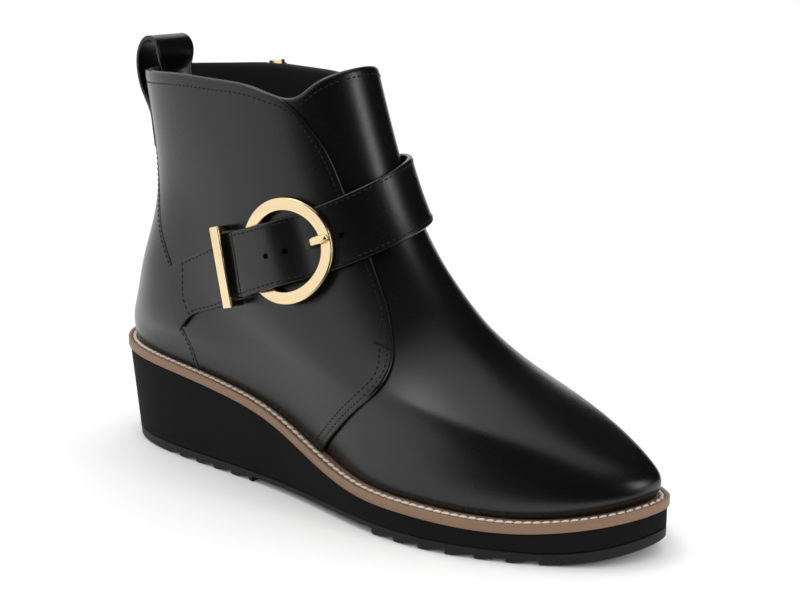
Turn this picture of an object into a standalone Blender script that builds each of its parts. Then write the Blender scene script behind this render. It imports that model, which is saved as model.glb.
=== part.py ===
"""Wedge ankle boot for the right foot, built as separate pieces.

Metres. +X runs from heel to toe, +Y to the inner side of the foot and +Z up.
The origin is on the floor, under the middle of the welt's length and width.
"""
import math

import bmesh
import bpy
import numpy as np

# Sole
SOLE_LENGTH = 0.2645
BALL_WIDTH = 0.0892
HEEL_HEIGHT = 0.0420
OUTSOLE_THICKNESS = 0.0045
TOE_SPRING = 0.0064
TREAD_DEPTH = 0.0025
TREAD_PITCH = 0.0109
TREAD_LAND = 0.16
HEEL_TREAD_START = 0.187
FORE_TREAD_START = 0.633
HEEL_TEETH = 5
FOREFOOT_TEETH = 6
WELT_THICKNESS = 0.0038
WELT_BAND = 0.0130
SOLE_INSET = 0.0008
HEEL_TAPER = 0.0034

# Stitch groove in the welt's top
GROOVE_INSET = 0.0017
GROOVE_WIDTH = 0.0024
GROOVE_DEPTH = 0.0008

# Upper
SHAFT_HEIGHT = 0.1710
UPPER_WALL = 0.0024
FEATHER_INSET = 0.0050
QUARTER_INSET = 0.0010
RAND_BULGE = 0.0008
RAND_RISE = 0.0090
OVERLAY_THICKNESS = 0.0016
COUNTER_THICKNESS = 0.0019
SEAM_GAP = 0.0003
SEAT_MARGIN = 0.0200
INSOLE_THICKNESS = 0.0030
INSOLE_GAP = 0.0004

# Strap and buckle
STRAP_WIDTH = 0.0262
STRAP_THICKNESS = 0.0020
STRAP_PLAY = 0.0005
SHORT_STRAP_REACH = 0.0530
RING_OUTER_RADIUS = 0.0206
RING_FACE = 0.0050
RING_THICKNESS = 0.0028
PRONG_WIDTH = 0.0034
PRONG_THICKNESS = 0.0022
SHANK_THICKNESS = 0.0009
SHANK_PLAY = 0.0001
KEEPER_REACH = 0.0284
KEEPER_BAR = 0.0050
KEEPER_THICKNESS = 0.0024
STRAP_HOLE_RADIUS = 0.0011
STRAP_HOLE_PITCH = 0.0076

# Pull loop
LOOP_WIDTH = 0.0210
LOOP_THICKNESS = 0.0018
LOOP_PLAY = 0.0005

# Side zip
ZIP_SLOT_WIDTH = 0.0090
ZIP_TAPE_THICKNESS = 0.0006
ZIP_TEETH_WIDTH = 0.0042
ZIP_TEETH_THICKNESS = 0.0014
ZIP_SLIDER_LENGTH = 0.0095
ZIP_SLIDER_WIDTH = 0.0066
ZIP_SLIDER_THICKNESS = 0.0026
ZIP_SLIDER_HEIGHT = 0.945
ZIP_EAR_THICKNESS = 0.0008
ZIP_EAR_RADIUS = 0.0017
ZIP_PULL_LENGTH = 0.0240
ZIP_PULL_WIDTH = 0.0052
ZIP_PULL_THICKNESS = 0.0014
ZIP_KNUCKLE_WIDTH = 0.0022
ZIP_KNUCKLE_RADIUS = 0.0011
ZIP_CLEARANCE = 0.0004
ZIP_STAND_OFF = 0.0005

# Welt outline, heel to toe: station as a share of SOLE_LENGTH, the outer side's
# and the inner side's distance from the heel's middle line as shares of BALL_WIDTH.
OUTLINE = (
    # station, outer, inner
    (0.00, 0.000, 0.000),
    (0.02, -0.153, 0.157),
    (0.06, -0.256, 0.258),
    (0.12, -0.322, 0.318),
    (0.22, -0.350, 0.338),
    (0.34, -0.360, 0.328),
    (0.46, -0.398, 0.335),
    (0.56, -0.460, 0.385),
    (0.64, -0.498, 0.450),
    (0.72, -0.496, 0.494),
    (0.80, -0.440, 0.486),
    (0.88, -0.340, 0.418),
    (0.94, -0.234, 0.300),
    (0.98, -0.110, 0.185),
    (1.00, 0.060, 0.060),
)

# Height of the wedge's top: station, share of HEEL_HEIGHT.
WEDGE_TOP = (
    (0.00, 1.000),
    (0.15, 0.950),
    (0.30, 0.833),
    (0.40, 0.695),
    (0.50, 0.467),
    (0.60, 0.321),
    (0.70, 0.295),
    (0.85, 0.279),
    (1.00, 0.438),
)

# Rings of the upper above the rand. Each goes from a back point to a front point,
# given as shares of SOLE_LENGTH along and of SHAFT_HEIGHT up. The fullness columns
# are shares of BALL_WIDTH at seven stations between them, and the last columns
# shift the middle line, as shares of BALL_WIDTH.
RING_STATIONS = (0.0, 0.1, 0.3, 0.5, 0.7, 0.9, 1.0)
SHIFT_STATIONS = (0.0, 0.3, 0.7, 1.0)
RINGS = (
    # front x, front z, back x, back z, fullness at the seven stations, shift
    (0.926, 0.225, 0.038, 0.374, (0.55, 0.48, 0.335, 0.36, 0.48, 0.500, 0.48), (-0.011, -0.011, 0.056)),
    (0.834, 0.292, 0.053, 0.433, (0.54, 0.49, 0.345, 0.36, 0.455, 0.470, 0.42), (-0.011, -0.011, 0.045)),
    (0.718, 0.392, 0.070, 0.503, (0.50, 0.48, 0.353, 0.36, 0.398, 0.415, 0.40), (-0.006, -0.006, 0.034)),
    (0.618, 0.553, 0.091, 0.585, (0.45, 0.44, 0.353, 0.348, 0.353, 0.353, 0.348), (0.0, 0.0, 0.022)),
    (0.558, 0.708, 0.100, 0.667, (0.39, 0.385, 0.336, 0.331, 0.342, 0.348, 0.348), (0.0, 0.0, 0.022)),
    (0.522, 0.854, 0.098, 0.784, (0.37, 0.37, 0.342, 0.331, 0.342, 0.348, 0.348), (0.0, 0.0, 0.022)),
    (0.492, 1.000, 0.078, 0.982, (0.37, 0.37, 0.348, 0.331, 0.342, 0.348, 0.348), (0.0, 0.0, 0.022)),
)

# Top edge of the vamp, tongue and lining: station from back to front, height as a
# share of SHAFT_HEIGHT. It stands up as the tongue at the front.
TOP_EDGE = (
    (0.00, 0.962),
    (0.12, 0.962),
    (0.34, 0.966),
    (0.48, 0.962),
    (0.60, 0.958),
    (0.69, 0.949),
    (0.76, 0.933),
    (0.83, 0.931),
    (0.89, 0.959),
    (0.95, 0.982),
    (1.00, 0.995),
)

# Pattern lines seen from the side, as shares of SOLE_LENGTH along and of
# SHAFT_HEIGHT up.
COUNTER_SEAM = (
    (0.104, 1.060),
    (0.110, 0.960),
    (0.127, 0.800),
    (0.148, 0.663),
    (0.186, 0.537),
    (0.198, 0.503),
    (0.204, 0.380),
    (0.218, 0.343),
    (0.232, 0.265),
    (0.260, 0.200),
)
COLLAR_LINE = (
    (0.300, 1.060),
    (0.340, 0.985),
    (0.363, 0.956),
    (0.390, 0.942),
    (0.418, 0.922),
    (0.436, 0.900),
    (0.452, 0.872),
)
FRONT_EDGE = (
    (0.469, 0.838),
    (0.484, 0.801),
    (0.507, 0.726),
    (0.532, 0.650),
    (0.556, 0.582),
    (0.578, 0.524),
    (0.599, 0.471),
    (0.617, 0.421),
    (0.630, 0.380),
    (0.633, 0.335),
    (0.605, 0.282),
    (0.572, 0.235),
    (0.545, 0.193),
    (0.512, 0.133),
    (0.500, 0.060),
)
ZIP_LINE = (
    (0.212, 1.060),
    (0.217, 0.960),
    (0.245, 0.700),
    (0.290, 0.440),
)

# Rear strap, from the ring back to the seam: share of the way, upper edge and lower
# edge as shares of STRAP_WIDTH from the long strap's middle line.
SHORT_STRAP = (
    (0.00, 0.445, -0.430),
    (0.27, 0.375, -0.545),
    (0.56, 0.275, -0.615),
    (0.81, 0.190, -0.697),
    (0.90, 0.150, -0.800),
    (1.00, 0.120, -0.870),
)

# Middle line of the pull loop where it stands free of the boot, from its outer
# tail over the top to its inner tail.
PULL_LOOP = (
    (0.064, 0.901),
    (0.056, 0.942),
    (0.055, 0.977),
    (0.062, 1.011),
    (0.079, 1.032),
    (0.096, 1.024),
    (0.103, 0.995),
)
LOOP_TAIL_LOW = 0.766
LOOP_TAIL_HIGH = 0.848
LOOP_INSIDE_HIGH = 0.948
LOOP_INSIDE_LOW = 0.860

# Strap: the buckle's middle seen from the side, the strap's climb there, and how
# the strap's plane climbs along and across the boot.
BUCKLE_X = 0.4446
BUCKLE_Z = 0.5870
STRAP_CLIMB_ALONG = 0.300
STRAP_CLIMB_ACROSS = 0.300
RING_PASS = 0.0088
STRAP_FALL_RUN = 0.0032
STRAP_ROOT_ANGLE = 1.62
STRAP_REACH = 0.1080
STRAP_NEAR_ROWS = 22
STRAP_FAR_ROWS = 20
STRAP_HOLES = (-1, 0, 3)
RING_FRONT_LIFT = 0.0003
RING_BACK_LIFT = 0.0011
PRONG_RISE_START = 0.0066
PRONG_RISE_RUN = 0.0080
KEEPER_PLAY = 0.0005
SAFE_REACH = 0.0300

# Sampling of the curved forms.
RING_STEPS = 52
LEVEL_STEPS = 14
OUTLINE_STEPS = 52
BUCKLE_STEPS = 32


def spline(knots, values, at):
    """Natural cubic curve through the values at the knots."""
    knots = np.asarray(knots, float)
    values = np.asarray(values, float)
    flat = values.reshape(len(knots), -1)
    steps = np.diff(knots)
    matrix = np.eye(len(knots))
    right = np.zeros_like(flat)
    for i in range(1, len(knots) - 1):
        matrix[i, i - 1] = steps[i - 1]
        matrix[i, i] = 2 * (steps[i - 1] + steps[i])
        matrix[i, i + 1] = steps[i]
        right[i] = 6 * (
            (flat[i + 1] - flat[i]) / steps[i] - (flat[i] - flat[i - 1]) / steps[i - 1]
        )
    bend = np.linalg.solve(matrix, right)
    at = np.asarray(at, float)
    low = np.clip(np.searchsorted(knots, at) - 1, 0, len(knots) - 2)
    before = (knots[low + 1] - at)[..., None]
    after = (at - knots[low])[..., None]
    step = steps[low][..., None]
    out = (bend[low] * before**3 + bend[low + 1] * after**3) / (6 * step)
    out = out + (flat[low] / step - bend[low] * step / 6) * before
    out = out + (flat[low + 1] / step - bend[low + 1] * step / 6) * after
    return out.reshape(at.shape + values.shape[1:])


def angle_of(station):
    """Angle round a ring, from the heel, that lies at a share of its length."""
    return np.arccos(1 - 2 * np.asarray(station, float))


def periodic_outline():
    """Knots and values of the outline, carried past the toe on both sides."""
    stations = np.array([row[0] for row in OUTLINE])
    outer = np.array([row[1] for row in OUTLINE])
    inner = np.array([row[2] for row in OUTLINE])
    angles = np.concatenate([-angle_of(stations[::-1]), angle_of(stations[1:])])
    values = np.concatenate([outer[::-1], inner[1:]])
    turn = 2 * math.pi
    angles = np.concatenate([angles[-4:-1] - turn, angles, angles[1:4] + turn])
    values = np.concatenate([values[-4:-1], values, values[1:4]])
    return angles, values


OUTLINE_ANGLES, OUTLINE_VALUES = periodic_outline()


def outline(angles, inset=0.0):
    """Points of the welt's edge at the angles, moved inwards by the inset."""

    def edge(at):
        along = SOLE_LENGTH * (1 - np.cos(at)) / 2
        across = BALL_WIDTH * spline(OUTLINE_ANGLES, OUTLINE_VALUES, at)
        return np.stack([along, across], -1)

    angles = (np.asarray(angles, float) + math.pi) % (2 * math.pi) - math.pi
    step = 1e-3
    way = edge(angles + step) - edge(angles - step)
    way /= np.linalg.norm(way, axis=-1, keepdims=True)
    inwards = np.stack([way[..., 1], -way[..., 0]], -1)
    return edge(angles) + inwards * np.broadcast_to(inset, angles.shape)[..., None]


EDGE = outline(np.linspace(-math.pi, math.pi, 721))
MIDDLE = (EDGE.min(axis=0) + EDGE.max(axis=0)) / 2


def wedge_top(along):
    """Height of the wedge's top at a distance from the heel."""
    stations = [row[0] for row in WEDGE_TOP]
    heights = [row[1] * HEEL_HEIGHT for row in WEDGE_TOP]
    return spline(stations, heights, np.clip(along / SOLE_LENGTH, 0, 1))


def floor_line(along):
    """Underside of the outsole, flat and then lifted towards the toe."""
    lift = np.clip((along / SOLE_LENGTH - 0.86) / 0.14, 0, 1)
    return TOE_SPRING * lift**2


def smooth_step(share):
    """Smooth rise from 0 to 1 over a share from 0 to 1."""
    share = np.clip(share, 0, 1)
    return share * share * (3 - 2 * share)


def key_rings(angles):
    """Feather edge, rand and the rings of the table at the angles."""
    station = (1 - np.cos(angles)) / 2
    rings = []
    under_quarter = smooth_step((0.62 - station) / 0.14)
    feather = FEATHER_INSET + QUARTER_INSET * under_quarter
    for inset, rise in ((feather, SEAM_GAP), (feather - RAND_BULGE, RAND_RISE)):
        flat = outline(angles, inset)
        rings.append(np.column_stack([flat, wedge_top(flat[:, 0]) + WELT_THICKNESS + rise]))
    away = np.abs((angles + math.pi) % (2 * math.pi) - math.pi)
    for front_x, front_z, back_x, back_z, fullness, shift in RINGS:
        along = SOLE_LENGTH * (back_x + (front_x - back_x) * station)
        up = SHAFT_HEIGHT * (back_z + (front_z - back_z) * station)
        full = BALL_WIDTH * spline(angle_of(RING_STATIONS), fullness, away)
        middle = BALL_WIDTH * spline(SHIFT_STATIONS, (0.0, *shift), station)
        rings.append(np.stack([along, middle + full * np.sin(angles), up], -1))
    return np.array(rings)


def form(angles, levels):
    """The upper's outer form at each level (0 feather, 1 top) and angle.

    The levels are one list for all angles, or a grid with a column for each.
    """
    rings = key_rings(angles)
    knots = np.linspace(0, 1, len(rings))
    levels = np.asarray(levels, float)
    if levels.ndim == 1:
        return spline(knots, rings, levels)
    columns = [spline(knots, rings[:, i], levels[:, i]) for i in range(len(angles))]
    return np.stack(columns, 1)


def outward(angles, levels):
    """Unit normals of the form, pointing out of the boot."""
    step = 2e-3
    levels = np.asarray(levels, float)
    round_way = form(angles + step, levels) - form(angles - step, levels)
    up_way = form(angles, levels + step) - form(angles, levels - step)
    normal = np.cross(up_way, round_way)
    return normal / np.linalg.norm(normal, axis=-1, keepdims=True)


def on_form(measure, target, angle, level):
    """Angle and level where two measures of a point of the form meet the target."""
    target = np.asarray(target, float)
    step = 1e-4

    def at(a, v):
        return np.array(measure(form(np.array([a]), np.array([v]))[0, 0]))

    for _ in range(40):
        here = at(angle, level)
        by_angle = (at(angle + step, level) - here) / step
        by_level = (at(angle, level + step) - here) / step
        if np.abs(target - here).max() < 1e-7:
            break
        move = np.linalg.solve(np.stack([by_angle, by_level], 1), target - here)
        angle += float(np.clip(move[0], -0.3, 0.3))
        level += float(np.clip(move[1], -0.1, 0.1))
    return angle, level


def point_and_normal(angle, level):
    angles, levels = np.array([angle]), np.array([level])
    return form(angles, levels)[0, 0], outward(angles, levels)[0, 0]


def seen_from_side(along, up, side):
    """Point of the form with this place in the side view, and its normal."""
    return point_and_normal(*on_form(lambda p: (p[0], p[2]), (along, up), side * 1.6, 0.6))


def material(name, colour, roughness, metallic=0.0):
    made = bpy.data.materials.new(name)
    made.use_nodes = True
    shader = made.node_tree.nodes["Principled BSDF"]
    shader.inputs["Base Color"].default_value = (*colour, 1.0)
    shader.inputs["Roughness"].default_value = roughness
    shader.inputs["Metallic"].default_value = metallic
    return made


def centred(points):
    """Points with the origin moved from the heel to the middle of the welt."""
    return np.asarray(points, float) - np.array([MIDDLE[0], MIDDLE[1], 0.0])


def new_object(name, mesh, finish, group):
    body = bpy.data.objects.new(name, mesh)
    group.objects.link(body)
    if finish is not None:
        mesh.materials.append(finish)
    if group is CUTTERS:
        body.hide_render = True
        body.display_type = "WIRE"
    return body


def mesh_object(name, points, faces, finish=None, group=None, smooth=True):
    """Object from computed points and faces, its normals made to point out."""
    shape = bmesh.new()
    verts = [shape.verts.new(point) for point in centred(points)]
    for face in faces:
        shape.faces.new([verts[i] for i in face])
    bmesh.ops.recalc_face_normals(shape, faces=list(shape.faces))
    mesh = bpy.data.meshes.new(name)
    shape.to_mesh(mesh)
    shape.free()
    if smooth:
        mesh.shade_smooth()
        mesh.set_sharp_from_angle(angle=math.radians(35))
    return new_object(name, mesh, finish, group or PARTS)


def wall(name, outer, inner, finish=None, group=None, closed=True):
    """Solid between two grids of equal size, closed round or with side edges."""
    rows, columns = outer.shape[:2]
    points = np.concatenate([outer.reshape(-1, 3), inner.reshape(-1, 3)])
    half = rows * columns

    def index(i, j, skin):
        return skin * half + i * columns + j % columns

    last = columns if closed else columns - 1
    faces = []
    for j in range(last):
        for i in range(rows - 1):
            corners = [(i, j), (i, j + 1), (i + 1, j + 1), (i + 1, j)]
            for three in ((0, 1, 2), (0, 2, 3)):
                faces.append([index(*corners[k], 0) for k in three])
                faces.append([index(*corners[k], 1) for k in reversed(three)])
        for i in (0, rows - 1):
            faces.append([index(i, j, 0), index(i, j + 1, 0), index(i, j + 1, 1), index(i, j, 1)])
    if not closed:
        for j in (0, columns - 1):
            for i in range(rows - 1):
                faces.append([index(i, j, 0), index(i + 1, j, 0), index(i + 1, j, 1), index(i, j, 1)])
    return mesh_object(name, points, faces, finish, group)


def stack(name, rings, finish=None, group=None):
    """Solid through closed rings, capped across from side to side."""
    rings = np.asarray(rings, float)
    rows, columns = rings.shape[:2]
    faces = []
    for i in range(rows - 1):
        for j in range(columns):
            k = (j + 1) % columns
            faces.append([i * columns + j, i * columns + k, (i + 1) * columns + k, (i + 1) * columns + j])
    for start in (0, (rows - 1) * columns):
        for j in range(columns // 2):
            strip = [j, j + 1, columns - j - 1, (columns - j) % columns]
            strip = [start + i for i in dict.fromkeys(strip)]
            faces.append(strip)
    return mesh_object(name, rings.reshape(-1, 3), faces, finish, group)


def side_cutter(name, line, low_y, high_y):
    """Prism across the boot over a closed line seen from the side, in metres."""
    count = len(line)
    points = [(x, low_y, z) for x, z in line] + [(x, high_y, z) for x, z in line]
    faces = [list(range(count)), list(range(count, 2 * count))]
    for i in range(count):
        k = (i + 1) % count
        faces.append([i, k, count + k, count + i])
    return mesh_object(name, points, faces, None, CUTTERS, smooth=False)


def cut(body, cutter, operation):
    """Applies one exact Boolean and keeps the result as a plain mesh."""
    modifier = body.modifiers.new(cutter.name, "BOOLEAN")
    modifier.operation = operation
    modifier.solver = "EXACT"
    modifier.object = cutter
    bpy.context.view_layer.update()
    seen = body.evaluated_get(bpy.context.evaluated_depsgraph_get())
    mesh = bpy.data.meshes.new_from_object(seen)
    body.modifiers.clear()
    body.data = mesh


def sized(table):
    """A pattern line in metres."""
    return [(SOLE_LENGTH * x, SHAFT_HEIGHT * z) for x, z in table]


def smooth_line(table, count):
    """A pattern line made round through its points."""
    rows = np.array(sized(table))
    steps = np.concatenate([[0], np.cumsum(np.linalg.norm(np.diff(rows, axis=0), axis=1))])
    return [tuple(row) for row in spline(steps, rows, np.linspace(0, steps[-1], count))]


def moved(line, along):
    return [(x + along, z) for x, z in line]


def shell_levels():
    """Levels of the shells' rows, from the feather edge to the top edge."""
    dense = np.linspace(0, 1, 121)
    heights = form(ANGLES, dense)[..., 2]
    edge = SHAFT_HEIGHT * spline(*zip(*TOP_EDGE), (1 - np.cos(ANGLES)) / 2)
    top = np.array([np.interp(edge[j], heights[:, j], dense) for j in range(RING_STEPS)])
    return np.linspace(0, 1, LEVEL_STEPS)[:, None] * top[None, :]


ANGLES = np.arange(RING_STEPS) * 2 * math.pi / RING_STEPS
LEVELS = shell_levels()


def layer(name, low, high, finish=None, group=None):
    """The form as a shell between two heights over it."""
    base = form(ANGLES, LEVELS)
    normal = outward(ANGLES, LEVELS)
    flat = normal.copy()
    flat[0, :, 2] = 0
    flat /= np.linalg.norm(flat, axis=-1, keepdims=True)
    return wall(name, base + flat * high, base + flat * low, finish, group)


def make_upper(finish):
    """Vamp, tongue and lined shaft as one hollow wall, open above and below."""
    return layer("upper", -UPPER_WALL, 0.0, finish)


def sole_ring(inset, height):
    """Ring of the sole, its inset and its height from functions of the distance."""
    angles = np.arange(OUTLINE_STEPS) * 2 * math.pi / OUTLINE_STEPS
    flat = outline(angles, inset(SOLE_LENGTH * (1 - np.cos(angles)) / 2))
    return np.column_stack([flat, height(flat[:, 0])])


def side_inset(share):
    """Inset of the wedge's side at a share of the way down from the welt."""

    def inset(along):
        return SOLE_INSET + HEEL_TAPER * share * smooth_step(1 - along / (0.45 * SOLE_LENGTH))

    return inset


def level_ring(inset, rise):
    """Ring at one inset from the welt's edge, at one rise over the wedge."""
    return sole_ring(lambda along: inset + 0 * along, lambda along: wedge_top(along) + rise)


OUTSOLE_SHARE = 1 - OUTSOLE_THICKNESS / HEEL_HEIGHT


def make_outsole(finish):
    rings = [
        sole_ring(side_inset(1.0), floor_line),
        sole_ring(side_inset(OUTSOLE_SHARE), lambda along: floor_line(along) + OUTSOLE_THICKNESS),
    ]
    body = stack("outsole", rings, finish)
    heel_tips = [HEEL_TREAD_START * SOLE_LENGTH + k * TREAD_PITCH for k in range(HEEL_TEETH)]
    fore_tips = [FORE_TREAD_START * SOLE_LENGTH + k * TREAD_PITCH for k in range(1, FOREFOOT_TEETH + 1)]
    land = TREAD_LAND * TREAD_PITCH
    grooves = []
    for tip in heel_tips + fore_tips:
        back = tip - TREAD_PITCH + land
        grooves.append([(back, -TREAD_DEPTH), (back, 0.0), (tip, TREAD_DEPTH), (tip, -TREAD_DEPTH)])
    low, high = heel_tips[-1] + land, FORE_TREAD_START * SOLE_LENGTH
    grooves.append([(low, -TREAD_DEPTH), (low, TREAD_DEPTH), (high, TREAD_DEPTH), (high, -TREAD_DEPTH)])
    for k, line in enumerate(grooves):
        cut(body, side_cutter(f"tread_cut_{k}", line, -BALL_WIDTH, BALL_WIDTH), "DIFFERENCE")
    return body


def make_wedge(finish):
    rings = [
        sole_ring(
            side_inset(OUTSOLE_SHARE),
            lambda along: floor_line(along) + OUTSOLE_THICKNESS + SEAM_GAP,
        ),
        sole_ring(side_inset(0.0), lambda along: wedge_top(along) - SEAM_GAP),
    ]
    return stack("wedge_midsole", rings, finish)


def make_welt(finish):
    """Strip under the upper's edge, with the stitch's groove in its top."""
    groove_end = GROOVE_INSET + GROOVE_WIDTH
    floor = WELT_THICKNESS - GROOVE_DEPTH
    section = (
        (0.0, 0.0),
        (0.0, WELT_THICKNESS),
        (GROOVE_INSET, WELT_THICKNESS),
        (GROOVE_INSET, floor),
        (groove_end, floor),
        (groove_end, WELT_THICKNESS),
        (WELT_BAND, WELT_THICKNESS),
        (WELT_BAND, 0.0),
    )
    rings = np.array([level_ring(inset, rise) for inset, rise in section])
    rows, columns = rings.shape[:2]
    faces = []
    for i in range(rows):
        for j in range(columns):
            k, m = (j + 1) % columns, (i + 1) % rows
            faces.append([i * columns + j, i * columns + k, m * columns + k, m * columns + j])
    return mesh_object("welt", rings.reshape(-1, 3), faces, finish)


def make_insole(finish):
    """Board and sock in the boot, with the filler inside the welt's ring."""
    board = FEATHER_INSET + QUARTER_INSET + UPPER_WALL + INSOLE_GAP
    filler = WELT_BAND + INSOLE_GAP
    seat = WELT_THICKNESS + SEAM_GAP
    section = ((filler, SEAM_GAP), (filler, seat), (board, seat), (board, seat + INSOLE_THICKNESS))
    return stack("insole", [level_ring(inset, rise) for inset, rise in section], finish)


def make_quarters(leather):
    """Back panel and the two quarters, cut from shells of the upper's form."""
    seam = smooth_line(COUNTER_SEAM, 14)
    collar = smooth_line(COLLAR_LINE, 14)
    front = smooth_line(FRONT_EDGE, 24)
    high = SEAM_GAP + OVERLAY_THICKNESS

    counter = layer("heel_counter", SEAM_GAP, SEAM_GAP + COUNTER_THICKNESS, leather)
    back = moved(seam, -SEAM_GAP / 2)
    back += [(-SEAT_MARGIN, back[-1][1]), (-SEAT_MARGIN, back[0][1])]
    cut(counter, side_cutter("counter_cut", back, -BALL_WIDTH, BALL_WIDTH), "INTERSECT")

    rear = moved(seam, SEAM_GAP / 2)
    edge = collar + front
    quarters = []
    for name, side in (("quarter_outer", -1), ("quarter_inner", 1)):
        quarter = layer(name, SEAM_GAP, high, leather)
        reach = sorted((side * SEAM_GAP, side * BALL_WIDTH))
        cut(quarter, side_cutter(f"{name}_cut", rear[::-1] + edge, *reach), "INTERSECT")
        quarters.append(quarter)
    slot = zip_strip("zip_slot_cut", ZIP_SLOT_WIDTH, 0.0, 1.1)
    cut(quarters[1], slot, "DIFFERENCE")
    return [counter] + quarters


def zip_strip(name, width, low, high):
    """Prism along the zip, between two shares of the way from its end to its top."""
    line = smooth_line(ZIP_LINE, 12)[::-1]
    top, bottom = line[-1][1], line[0][1]
    rows = [point for point in line if low <= (point[1] - bottom) / (top - bottom) <= high]
    outline_points = moved(rows, -width / 2) + moved(rows, width / 2)[::-1]
    return side_cutter(name, outline_points, SEAM_GAP, BALL_WIDTH)


def patch(name, angles, levels, low, high, finish=None):
    """Open patch of the form between two heights over it, which may be grids."""
    base = form(angles, levels)
    normal = outward(angles, levels)
    low = np.broadcast_to(np.asarray(low, float), base.shape[:2])[..., None]
    high = np.broadcast_to(np.asarray(high, float), base.shape[:2])[..., None]
    return wall(name, base + normal * high, base + normal * low, finish, closed=False)


def unit(vector):
    vector = np.asarray(vector, float)
    return vector / np.linalg.norm(vector)


STRAP_PLANE = unit((-STRAP_CLIMB_ALONG, -STRAP_CLIMB_ACROSS, 1.0))
STRAP_SEAT = SEAM_GAP + OVERLAY_THICKNESS + STRAP_PLAY
OVER_SHORT = STRAP_SEAT + STRAP_THICKNESS + SEAM_GAP
OVER_LONG = OVER_SHORT + STRAP_THICKNESS + SEAM_GAP
RING_MIDDLE_RADIUS = RING_OUTER_RADIUS - RING_FACE / 2


class Seat:
    """A place on the form: directions along the strap, across it and out."""

    def __init__(self, middle, out):
        self.middle, self.out = middle, out
        self.along = unit(np.cross(STRAP_PLANE, out))
        self.across = np.cross(out, self.along)

    def on(self, reach, aside, start):
        """Angle and level of the form's point over a place of the tangent plane."""

        def measure(point):
            return (point - self.middle) @ self.along, (point - self.middle) @ self.across

        return on_form(measure, (reach, aside), *start)

    def over(self, reach, aside=0.0):
        """Height of the form over the seat's tangent plane."""
        point, _ = point_and_normal(*self.on(reach, aside, (-1.7, 0.6)))
        return (point - self.middle) @ self.out

    def point(self, reach, aside, height):
        return self.middle + self.along * reach + self.across * aside + self.out * height


def buckle_seat():
    middle, out = seen_from_side(BUCKLE_X * SOLE_LENGTH, BUCKLE_Z * SHAFT_HEIGHT, -1)
    return Seat(middle, out)


def strap_line(buckle, runs):
    """Angles and levels of the strap's middle line at distances from the buckle."""
    angles = np.linspace(-0.55, STRAP_ROOT_ANGLE - 2 * math.pi - 0.1, 140)
    dense = np.linspace(0.2, 0.95, 90)
    above = (form(angles, dense) - buckle.middle) @ STRAP_PLANE
    levels = np.array([np.interp(0.0, above[:, j], dense) for j in range(len(angles))])
    points = form(angles, levels[None, :])[0]
    lengths = np.concatenate([[0], np.cumsum(np.linalg.norm(np.diff(points, axis=0), axis=1))])
    here = np.argmin(np.linalg.norm(points - buckle.middle, axis=1))
    near = slice(max(here - 2, 0), here + 3)
    zero = np.interp(0.0, (points[near] - buckle.middle) @ buckle.along, lengths[near])
    return np.interp(runs, lengths - zero, angles), np.interp(runs, lengths - zero, levels)


def strap_seat(buckle, run):
    """Seat at a distance along the strap from the buckle."""
    angles, levels = strap_line(buckle, np.array([run]))
    return Seat(*point_and_normal(angles[0], levels[0]))


def ring_height(reach):
    """Underside of the ring over the form, which leans up to let the strap pass below."""
    low = STRAP_SEAT + RING_BACK_LIFT
    high = STRAP_SEAT + STRAP_THICKNESS + SEAM_GAP + RING_FRONT_LIFT
    share = (reach + RING_PASS) / (2 * RING_PASS)
    return low + (high - low) * share


def strap_height(reach):
    """Underside of the long strap over the form: up over the ring, then on the short strap."""
    up = smooth_step((RING_PASS - reach) / (2 * RING_PASS))
    over_ring = ring_height(np.clip(reach, -RING_OUTER_RADIUS, -RING_PASS)) + RING_THICKNESS + 2 * SEAM_GAP
    down = smooth_step((-RING_OUTER_RADIUS - SEAM_GAP - reach) / STRAP_FALL_RUN)
    return STRAP_SEAT + (over_ring - STRAP_SEAT) * up + (OVER_SHORT - over_ring) * down


def box(name, middle, directions, sides, finish=None, group=None):
    """Box round a middle with three directions and three full side lengths."""
    steps = np.array(directions) * np.array(sides)[:, None] / 2
    points = [
        middle + a * steps[0] + b * steps[1] + c * steps[2] for a in (-1, 1) for b in (-1, 1) for c in (-1, 1)
    ]
    faces = [[0, 1, 3, 2], [4, 6, 7, 5], [0, 4, 5, 1], [2, 3, 7, 6], [0, 2, 6, 4], [1, 5, 7, 3]]
    return mesh_object(name, points, faces, finish, group, smooth=False)


def rod(name, start, end, radius, sides, finish=None, group=None):
    """Round bar or cutter between two points."""
    way = unit(np.asarray(end) - np.asarray(start))
    aside = unit(np.cross(way, (0.31, 0.17, 0.94)))
    third = np.cross(way, aside)
    turn = [2 * math.pi * k / sides for k in range(sides)]
    rings = [
        [middle + radius * (aside * math.cos(a) + third * math.sin(a)) for a in turn]
        for middle in (np.asarray(start), np.asarray(end))
    ]
    faces = [list(range(sides)), list(range(sides, 2 * sides))]
    faces += [[k, (k + 1) % sides, sides + (k + 1) % sides, sides + k] for k in range(sides)]
    return mesh_object(name, np.concatenate(rings), faces, finish, group)


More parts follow.
